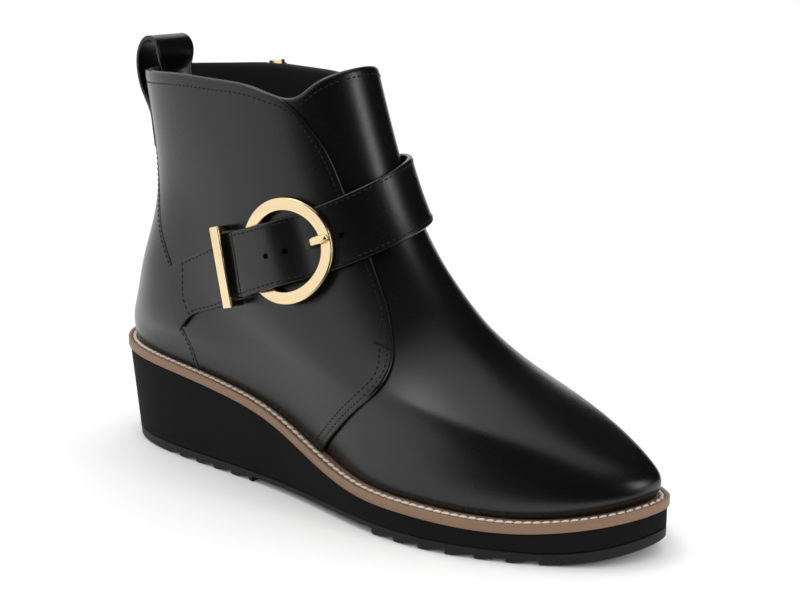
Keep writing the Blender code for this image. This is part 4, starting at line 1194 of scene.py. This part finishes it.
# %% Sole
OUTSOLE_SHARE = 1 - OUTSOLE_THICKNESS / HEEL_HEIGHT
SOLE_COLUMNS = 480
AROUND = np.arange(SOLE_COLUMNS) * 2 * math.pi / SOLE_COLUMNS
LOW_EDGE, HIGH_EDGE, WEDGE_SOFT = 0.0006, 0.0004, 0.0005


def side_inset(share, along):
    """Inset of the sole's side, which tapers a little at the heel."""
    return SOLE_INSET + HEEL_TAPER * share * smooth_step(1 - along / (0.45 * SOLE_LENGTH))


def sole_ring(share, height, extra=0.0):
    """Ring at a share of the way down the side, its height a function of the distance."""
    along = SOLE_LENGTH * (1 - np.cos(AROUND)) / 2
    flat = outline(AROUND, side_inset(share, along) + extra)
    return np.column_stack([flat, height(flat[:, 0])])


def stack(name, rings, materials):
    """Solid through closed rings, capped across from side to side."""
    rings = np.asarray(rings, float)
    rows, columns = rings.shape[:2]
    faces = list(map(list, grid_faces(rows, columns, 0, True)))
    for start in (0, (rows - 1) * columns):
        for j in range(columns // 2):
            strip = [j, j + 1, columns - j - 1, (columns - j) % columns]
            faces.append([start + i for i in dict.fromkeys(strip)])
    body = new_object(name, rings.reshape(-1, 3), faces, materials)
    body.data.set_sharp_from_angle(angle=SHARP_ANGLE)
    return body


def make_outsole():
    """Outsole with saw teeth at the heel and the forefoot, and a cut between them."""
    rings = [
        sole_ring(1.0, floor_line, LOW_EDGE),
        sole_ring(1.0, lambda x: floor_line(x) + LOW_EDGE),
        sole_ring(OUTSOLE_SHARE, lambda x: floor_line(x) + OUTSOLE_THICKNESS - HIGH_EDGE),
        sole_ring(OUTSOLE_SHARE, lambda x: floor_line(x) + OUTSOLE_THICKNESS, HIGH_EDGE),
    ]
    body = stack("rubber_outsole", rings, [RUBBER])
    land = TREAD_LAND * TREAD_PITCH
    heel = [HEEL_TREAD_START * SOLE_LENGTH + k * TREAD_PITCH for k in range(HEEL_TEETH)]
    fore = [FORE_TREAD_START * SOLE_LENGTH + k * TREAD_PITCH for k in range(1, FOREFOOT_TEETH + 1)]
    lines = []
    for tip in heel + fore:
        back = tip - TREAD_PITCH + land
        lines.append([(back, -TREAD_DEPTH), (back, 0.0), (tip, TREAD_DEPTH), (tip, -TREAD_DEPTH)])
    low, high = heel[-1] + land, FORE_TREAD_START * SOLE_LENGTH
    lines.append([(low, -TREAD_DEPTH), (low, TREAD_DEPTH), (high, TREAD_DEPTH), (high, -TREAD_DEPTH)])
    carve(body, prisms("tread", lines, -BALL_WIDTH, BALL_WIDTH))
    return drape(body, "outsole")


def make_wedge():
    def between(share):
        def height(along):
            low = floor_line(along) + OUTSOLE_THICKNESS + SEAM_GAP
            return low + (wedge_top(along) - SEAM_GAP - low) * share

        return height

    rings = [sole_ring(OUTSOLE_SHARE, between(0.0), WEDGE_SOFT)]
    for share in (0.015, 0.25, 0.5, 0.75, 0.985):
        rings.append(sole_ring(OUTSOLE_SHARE * (1 - share), between(share)))
    rings.append(sole_ring(0.0, between(1.0), WEDGE_SOFT))
    return drape(stack("foam_wedge", rings, [FOAM]), "wedge_midsole")


make_outsole()
make_wedge()

# %% [markdown]
# The welt is a strip of tan leather sewn round the upper, with a groove for its thick
# stitch. Its section is swept once round the ground plan, at the wedge's height.

# %% Welt
WELT_SHARP = math.radians(50)


def level_ring(inset, rise):
    flat = outline(AROUND, inset)
    return np.column_stack([flat, wedge_top(flat[:, 0]) + rise])


def make_welt():
    soft = 0.0003
    end = GROOVE_INSET + GROOVE_WIDTH
    floor_rise = WELT_THICKNESS - GROOVE_DEPTH
    section = (
        (soft, 0.0),
        (0.0, soft),
        (0.0, WELT_THICKNESS - soft),
        (soft, WELT_THICKNESS),
        (GROOVE_INSET - soft, WELT_THICKNESS),
        (GROOVE_INSET, WELT_THICKNESS - soft),
        (GROOVE_INSET + soft, floor_rise),
        (end - soft, floor_rise),
        (end, WELT_THICKNESS),
        (WELT_BAND, WELT_THICKNESS),
        (WELT_BAND, 0.0),
    )
    rings = np.array([level_ring(inset, rise) for inset, rise in section])
    welt = tube("leather_welt", rings.transpose(1, 0, 2), [WELT_TAN])
    welt.data.set_sharp_from_angle(angle=WELT_SHARP)
    return drape(welt, "welt")


make_welt()

# %% [markdown]
# Stitches repeat at an even pitch, so one small Geometry Nodes tree lays them: it walks
# each seam line, sets a short bead at every pitch and turns it to lie on the leather.
# The zip's teeth are laid by the same tree with a wider bead.

# %% Row of beads along a line
def row_tree():
    """Geometry Nodes tree that sets one bead at every pitch along a line."""
    tree = bpy.data.node_groups.new("row_of_beads", "GeometryNodeTree")
    socket(tree, "NodeSocketGeometry", "Geometry", "INPUT")
    measures = {"Pitch": 0.0023, "Length": 0.0017, "Width": 0.0005, "Height": 0.0004, "Twist": 0.0}
    for name, value in measures.items():
        socket(tree, "NodeSocketFloat", name, "INPUT", value)
    socket(tree, "NodeSocketMaterial", "Finish", "INPUT")
    socket(tree, "NodeSocketGeometry", "Geometry", "OUTPUT")
    nodes, links = tree.nodes, tree.links
    given, result = nodes.new("NodeGroupInput"), nodes.new("NodeGroupOutput")
    curve = nodes.new("GeometryNodeMeshToCurve")
    spaced = nodes.new("GeometryNodeResampleCurve")
    spaced.mode = "LENGTH"
    bead = nodes.new("GeometryNodeMeshUVSphere")
    bead.inputs["Segments"].default_value = 8
    bead.inputs["Rings"].default_value = 6
    bead.inputs["Radius"].default_value = 0.5
    size = nodes.new("ShaderNodeCombineXYZ")
    outwards = nodes.new("GeometryNodeInputNamedAttribute")
    outwards.data_type = "FLOAT_VECTOR"
    outwards.inputs["Name"].default_value = "outward"
    tangent = nodes.new("GeometryNodeInputTangent")
    along = nodes.new("FunctionNodeAlignRotationToVector")
    along.axis = "X"
    upright = nodes.new("FunctionNodeAlignRotationToVector")
    upright.axis = "Z"
    upright.pivot_axis = "X"
    turn = nodes.new("ShaderNodeCombineXYZ")
    twisted = nodes.new("FunctionNodeRotateRotation")
    twisted.rotation_space = "LOCAL"
    to_turn = nodes.new("FunctionNodeEulerToRotation")
    placed = nodes.new("GeometryNodeInstanceOnPoints")
    real = nodes.new("GeometryNodeRealizeInstances")
    soft = nodes.new("GeometryNodeSetShadeSmooth")
    painted = nodes.new("GeometryNodeSetMaterial")
    for start, end in (
        (given.outputs["Geometry"], curve.inputs[0]),
        (curve.outputs[0], spaced.inputs["Curve"]),
        (given.outputs["Pitch"], spaced.inputs["Length"]),
        (given.outputs["Length"], size.inputs["X"]),
        (given.outputs["Width"], size.inputs["Y"]),
        (given.outputs["Height"], size.inputs["Z"]),
        (tangent.outputs[0], along.inputs["Vector"]),
        (along.outputs[0], upright.inputs["Rotation"]),
        (outwards.outputs[0], upright.inputs["Vector"]),
        (given.outputs["Twist"], turn.inputs["Z"]),
        (turn.outputs[0], to_turn.inputs[0]),
        (upright.outputs[0], twisted.inputs["Rotation"]),
        (to_turn.outputs[0], twisted.inputs["Rotate By"]),
        (spaced.outputs[0], placed.inputs["Points"]),
        (bead.outputs["Mesh"], placed.inputs["Instance"]),
        (twisted.outputs[0], placed.inputs["Rotation"]),
        (size.outputs[0], placed.inputs["Scale"]),
        (placed.outputs[0], real.inputs[0]),
        (real.outputs[0], soft.inputs[0]),
        (soft.outputs[0], painted.inputs["Geometry"]),
        (given.outputs["Finish"], painted.inputs["Material"]),
        (painted.outputs[0], result.inputs[0]),
    ):
        links.new(start, end)
    return tree


ROW = row_tree()


def bead_rows(name, lines, finish, slot, node=None, **settings):
    """Rows of beads along lines of points and outward directions, as one plain mesh."""
    mesh = bpy.data.meshes.new(name)
    points, edges, outwards = [], [], []
    for spots, normals, closed in lines:
        start = len(points)
        points += [tuple(p) for p in centred(spots)]
        outwards += [tuple(n) for n in normals]
        edges += [(start + k, start + k + 1) for k in range(len(spots) - 1)]
        if closed:
            edges.append((len(points) - 1, start))
    mesh.from_pydata(points, edges, [])
    mesh.attributes.new("outward", "FLOAT_VECTOR", "POINT")
    mesh.attributes["outward"].data.foreach_set("vector", np.array(outwards, np.float32).ravel())
    body = linked(name, mesh)
    modifier = body.modifiers.new("row", "NODES")
    modifier.node_group = ROW
    settings["Finish"] = finish
    for item in ROW.interface.items_tree:
        if item.name in settings and item.in_out == "INPUT":
            modifier[item.identifier] = settings[item.name]
    body.update_tag()
    bpy.context.view_layer.update()
    seen = body.evaluated_get(bpy.context.evaluated_depsgraph_get())
    made = bpy.data.meshes.new_from_object(seen)
    body.modifiers.clear()
    body.data = made
    return drape(body, node)


print("nodes in the row tree:", len(ROW.nodes))

# %% [markdown]
# Each seam line is measured from the edge that the real machine follows: a seam runs
# about two millimetres inside a cut edge. Low on the front edge a second row runs beside
# the first, as far up as the bar tack.

# %% Seam lines
ROW_INSET = 0.0020
ROW_GAP = 0.0024
COUNTER_ROW_INSET = 0.0016
ZIP_ROW_INSET = 0.0016
DOUBLE_BELOW = 0.405
BACK_MARGIN, FRONT_MARGIN = 0.02, 0.03
WELT_MARGIN = 0.004
UPPER_STITCH = {"Pitch": 0.0023, "Length": 0.0017, "Width": 0.0007, "Height": 0.0005}
ON_OVERLAY = SEAM_GAP + OVERLAY_THICKNESS
ON_COUNTER = SEAM_GAP + COUNTER_THICKNESS


def laid(angles, levels, height, closed=False):
    """A line over the form: its points, the outward directions and whether it closes."""
    normal = outward(angles, levels)
    return form(angles, levels) + normal * height, normal, closed


def edge_row(table, side, inset, high=0.99, top=1.0):
    """Row beside a pattern line, up to a share of the shaft height or of the top level."""
    line = beside(pattern_line(table), -inset)
    line = line[(line[:, 1] > 0.10 * SHAFT_HEIGHT) & (line[:, 1] < high * SHAFT_HEIGHT)]
    angles, levels = from_side(line, side)
    keep = levels / top_level(angles) < top
    points = form(angles, levels)
    keep &= points[:, 2] > wedge_top(points[:, 0]) + WELT_THICKNESS + WELT_MARGIN
    return angles[keep], levels[keep]


COLLAR_SHARE = 1 - ROW_INSET / SHAFT_WALL_LENGTH


def collar_row(seam, angles):
    """Row under the collar's edge, from the back panel's seam to the front edge's row."""
    start = np.interp(COLLAR_SHARE, *seam) + BACK_MARGIN * np.sign(angles[0])
    turns = np.linspace(start, angles[0], 40)
    return turns, COLLAR_SHARE * top_level(turns)


upper_rows = []
for side, seam in ((-1, counter_outer), (1, counter_inner)):
    angles, levels = edge_row(QUARTER_EDGE, side, ROW_INSET, top=COLLAR_SHARE)
    start = collar_row(seam, angles)
    both = np.concatenate([start[0][:-1], angles]), np.concatenate([start[1][:-1], levels])
    upper_rows.append(laid(*both, ON_OVERLAY))
    second = edge_row(QUARTER_EDGE, side, ROW_INSET + ROW_GAP, high=DOUBLE_BELOW)
    upper_rows.append(laid(*second, ON_OVERLAY))
    back = edge_row(COUNTER_SEAM, side, COUNTER_ROW_INSET, high=0.93)
    upper_rows.append(laid(*back, ON_COUNTER))
front_turns = np.linspace(
    np.interp(COLLAR_SHARE, *quarter_outer) - FRONT_MARGIN,
    np.interp(COLLAR_SHARE, *quarter_inner) - 2 * math.pi + FRONT_MARGIN,
    60,
)
upper_rows.append(laid(front_turns, COLLAR_SHARE * top_level(front_turns), 0.0))
for way in (-1, 1):
    line = pattern_line(ZIP_LINE, 60)
    line = line[(line[:, 1] < 0.93 * SHAFT_HEIGHT) & (line[:, 1] > 0.45 * SHAFT_HEIGHT)]
    spots = from_side(line + (way * (ZIP_SLOT_WIDTH / 2 + ZIP_ROW_INSET), 0.0), 1)
    upper_rows.append(laid(*spots, ON_OVERLAY))
bead_rows("upper_stitches", upper_rows, THREAD, "black_leather", **UPPER_STITCH)

# %% [markdown]
# A bar tack is a short, dense row of stitches that keeps a seam's end from opening. It is
# a row like the others, with beads that lie close and stand across the line.

# %% Bar tack
BAR_TACK = ((0.597, 0.409), (0.620, 0.397))
TACK_STITCH = {"Pitch": 0.0008, "Length": 0.0007, "Width": 0.0016, "Height": 0.0008}
tack = from_side(np.linspace(BAR_TACK[0], BAR_TACK[1], 12) * (SOLE_LENGTH, SHAFT_HEIGHT), -1)
bead_rows("bar_tack", [laid(*tack, ON_OVERLAY)], THREAD, "black_leather", **TACK_STITCH)

# %% [markdown]
# Straps and loop are two layers sewn together along their edges. Their rows run at one
# distance inside the edge, along both sides and across each end that can be seen.

# %% Strap and loop stitches
STRAP_ROW = 0.0018
REAR_ROW_STOP = 0.0085
KEEPER_MARGIN = 0.004
STRAP_STITCH = {"Pitch": 0.0024, "Length": 0.0018, "Width": 0.0007, "Height": 0.0005}
strap_rows = []


def strap_row(runs, asides, low):
    """Adds a row on top of a strap whose underside lies at the given height."""
    points, normals = strap_points(runs, asides)
    height = np.asarray(low + STRAP_THICKNESS, float)
    strap_rows.append((points + normals * height.reshape(-1, 1), normals, False))


runs = np.linspace(STRAP_TIP + STRAP_ROW, STRAP_REACH - STRAP_ROW, 160)
for side in (-1, 1):
    strap_row(runs, np.full(160, side * (STRAP_WIDTH / 2 - STRAP_ROW)), strap_height(runs))
tip_asides = np.linspace(-1, 1, 20) * (STRAP_WIDTH / 2 - STRAP_ROW)
strap_row(np.full(20, runs[0]), tip_asides, strap_height(runs[:1]))
lane = STRAP_ROW / STRAP_WIDTH
lanes = np.array([lane, 1 - lane])
rear_lanes = np.linspace(0, 1, 12)
rear = rear_ends(rear_lanes)
for spot in lanes:
    end = np.interp(spot, rear_lanes, rear) + REAR_ROW_STOP
    runs = np.linspace(-KEEPER_REACH + KEEPER_MARGIN, end, 40)
    strap_row(runs, rear_aside(runs, spot), np.array(STRAP_SEAT))
across_lanes = np.linspace(lane, 1 - lane, 16)
runs = np.interp(across_lanes, rear_lanes, rear) + REAR_ROW_STOP
strap_row(runs, rear_aside(runs, across_lanes), np.array(STRAP_SEAT))

run, rows = loop_rows(np.array([-1.0, 1e-3, 1.0]) * (LOOP_WIDTH / 2 - STRAP_ROW))
steps = np.linspace(STRAP_ROW, run[4], 30)
rows = spline(run, rows, steps)
normal = unit(np.cross(np.gradient(rows, axis=0), np.gradient(rows, axis=1)))
rows = rows + normal * LOOP_THICKNESS / 2
for k in (0, 2):
    strap_rows.append((rows[:, k], normal[:, k], False))
strap_rows.append((rows[0], normal[0], False))
bead_rows("strap_stitches", strap_rows, THREAD, "black_leather", **STRAP_STITCH)

# %% [markdown]
# The welt is sewn with a thick waxed thread in its groove. Each stitch lies slightly
# askew, as a twisted thread does, so its bead is turned a little in the row's plane.

# %% Welt stitch
THREAD_RISE = 0.00035
WELT_STITCH = {"Pitch": 0.0034, "Length": 0.0037, "Width": 0.0018, "Height": 0.0014, "Twist": 0.26}
inset = GROOVE_INSET + GROOVE_WIDTH / 2
rise = WELT_THICKNESS - GROOVE_DEPTH + THREAD_RISE
spots = level_ring(inset, rise)
way = np.roll(spots, -1, axis=0) - np.roll(spots, 1, axis=0)
side_way = level_ring(inset + 0.001, rise) - spots
up = unit(np.cross(side_way, way))
up *= np.sign(up[:, 2:])
bead_rows("welt_stitches", [(spots, up, True)], WELT_THREAD, "tan_welt", **WELT_STITCH)

# %% [markdown]
# A closed zip is two rows of metal teeth, each row half a pitch behind the other. The
# rows stand close beside the zip's line, on the tape.

# %% Zip teeth
TOOTH_PITCH = 0.0017
TEETH_SPAN = (0.462, 0.908)
TEETH_ASIDE, TEETH_RISE = 0.00075, 0.0007
TOOTH = {"Pitch": TOOTH_PITCH, "Length": 0.0010, "Width": 0.0024, "Height": 0.0014}
zip_rows = []
for side, start in ((-1, 0.0), (1, TOOTH_PITCH / 2)):
    line = pattern_line(ZIP_LINE, 200)[::-1]
    run = walked(line)
    low, high = (np.interp(share * SHAFT_HEIGHT, line[:, 1], run) for share in TEETH_SPAN)
    at = np.linspace(low + start, high, 60)
    line = np.stack([np.interp(at, run, line[:, k]) for k in (0, 1)], 1)
    spots = from_side(line + (side * TEETH_ASIDE, 0.0), 1)
    zip_rows.append(laid(*spots, SEAM_GAP * 2 + ZIP_TAPE_THICKNESS + TEETH_RISE))
bead_rows("zip_teeth_rows", zip_rows, GOLD, "pale_gold", "zip_teeth", **TOOTH)

# %% [markdown]
# The slider and its pull tab are small castings, and every edge of a casting is soft.
# A copy of each solid is merged, so its flat sides are whole, and then bevelled.

# %% Zip slider and pull tab
def softened(node, name, width, body):
    """Bevelled copy of a solid, standing for it."""
    shape = bmesh.new()
    shape.from_mesh(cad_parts[node].data)
    bmesh.ops.remove_doubles(shape, verts=shape.verts[:], dist=1e-6)
    bmesh.ops.dissolve_limit(shape, angle_limit=0.02, verts=shape.verts[:], edges=shape.edges[:])
    mesh = bpy.data.meshes.new(name)
    shape.to_mesh(mesh)
    shape.free()
    mesh.materials.clear()
    mesh.materials.append(GOLD)
    piece = linked(name, mesh)
    baked(piece, "BEVEL", width=width, segments=2, limit_method="ANGLE", angle_limit=0.6)
    piece.data.polygons.foreach_set("material_index", np.zeros(len(piece.data.polygons), np.int32))
    piece.data.shade_smooth()
    piece.data.set_sharp_from_angle(angle=SHARP_ANGLE)
    return drape(piece, node, body)


softened("zip_slider", "zip_slide", 0.00025, "boot")
softened("zip_pull", "zip_pull_tab", 0.00030, "pull_tab")

# %% [markdown]
# The insole and the zip's tape already have their true shape. They keep it and take a
# finish of their own: smooth sock leather, and woven cloth.

# %% Finishes on the plain solids
NODE_FINISH = {
    "insole": SOCK,
    "zip_tape": TAPE,
}
for node, finish in NODE_FINISH.items():
    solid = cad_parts[node]
    for k in range(len(solid.data.materials)):
        solid.data.materials[k] = finish
print("plain solids:", len(NODE_FINISH))

# %% [markdown]
# The boot stands on a pale floor in a white room, so its polish mirrors a broad, even
# brightness. The floor is wide enough that its edge meets the room's white out of sight.

# %% Floor and room
FLOOR_SIZE = 40.0
ROOM_STRENGTH = 1.12
bpy.ops.mesh.primitive_plane_add(size=FLOOR_SIZE, location=(0.0, 0.0, 0.0))
floor = bpy.context.object
floor.name = "floor"
floor.data.materials.append(shader_material("pale_floor", (0.92, 0.92, 0.92), 0.8, specular=0.2))

room = bpy.data.worlds.new("white_room")
bpy.context.scene.world = room
room.use_nodes = True
light = room.node_tree.nodes["Background"]
light.inputs["Color"].default_value = (1.0, 1.0, 1.0, 1.0)
light.inputs["Strength"].default_value = ROOM_STRENGTH
print("floor:", FLOOR_SIZE, "m wide")

# %% [markdown]
# A photographer sets black cards round black leather to keep it deep, and leaves gaps for
# the bright parts. The cards here are seen only in the polish. A strip lamp high in front
# gives the streaks on the edges, and a soft lamp above lights the whole boot.

# %% Cards and lamps
CARD = shader_material("black_card", (0.004, 0.004, 0.004), 0.9, specular=0.2)


def black_card(name, low_turn, high_turn, low, high, radii=(1.6, 1.6), steps=16):
    """Curved card round the set, seen only in the polish. Turns are degrees from +X."""
    turns = np.radians(np.linspace(low_turn, high_turn, steps))
    points = [(r * np.cos(t), r * np.sin(t), z) for z, r in zip((low, high), radii) for t in turns]
    faces = [(k, k + 1, steps + k + 1, steps + k) for k in range(steps - 1)]
    mesh = bpy.data.meshes.new(name)
    mesh.from_pydata(points, [], faces)
    mesh.materials.append(CARD)
    card = linked(name, mesh)
    card.visible_camera = False
    card.visible_diffuse = False
    card.visible_shadow = False


black_card("front_card", -86.0, -2.0, -0.2, 1.3)
black_card("side_card", 22.0, 105.0, -0.2, 1.3)
black_card("high_card", -86.0, 105.0, 1.3, 1.6, (1.6, 0.72))
black_card("floor_card", -84.0, 4.0, 0.0010, 0.0011, (0.17, 1.6))


def soft_lamp(name, place, aim, size, power):
    """Square or long area lamp that looks at a point."""
    lamp = bpy.data.lights.new(name, "AREA")
    lamp.shape = "RECTANGLE"
    lamp.size, lamp.size_y = size
    lamp.energy = power
    body = linked(name, lamp)
    body.location = place
    body.rotation_euler = (Vector(aim) - Vector(place)).to_track_quat("-Z", "Y").to_euler()


soft_lamp("strip_lamp", (1.24, 0.13, 0.56), (0.02, 0.0, 0.12), (0.15, 0.75), 2.6)
soft_lamp("top_lamp", (-0.25, -0.15, 1.3), (0.03, 0.0, 0.05), (0.5, 0.5), 3.0)
print("lamps:", len(bpy.data.lights))

# %% [markdown]
# The camera stands where the photographer stood, in front of the toe on the outer side
# and a little above. Its place and lens were fitted to the boot's outline in the picture.

# %% Camera
EYE = Vector((0.3577, -0.4488, 0.2246))
LENS, SENSOR_WIDTH = 66.45, 36.0
camera_data = bpy.data.cameras.new("view")
camera_data.lens = LENS
camera_data.sensor_width = SENSOR_WIDTH
camera_data.clip_start = 0.01
camera = linked("view", camera_data)
camera.matrix_world = Matrix(
    (
        (0.79547, -0.1509, 0.5869, EYE.x),
        (0.60599, 0.1981, -0.7704, EYE.y),
        (0.0, 0.9685, 0.2490, EYE.z),
        (0.0, 0.0, 0.0, 1.0),
    )
)
bpy.context.scene.camera = camera
bpy.context.scene.view_settings.view_transform = "Standard"
print("camera at", tuple(round(value, 3) for value in EYE))
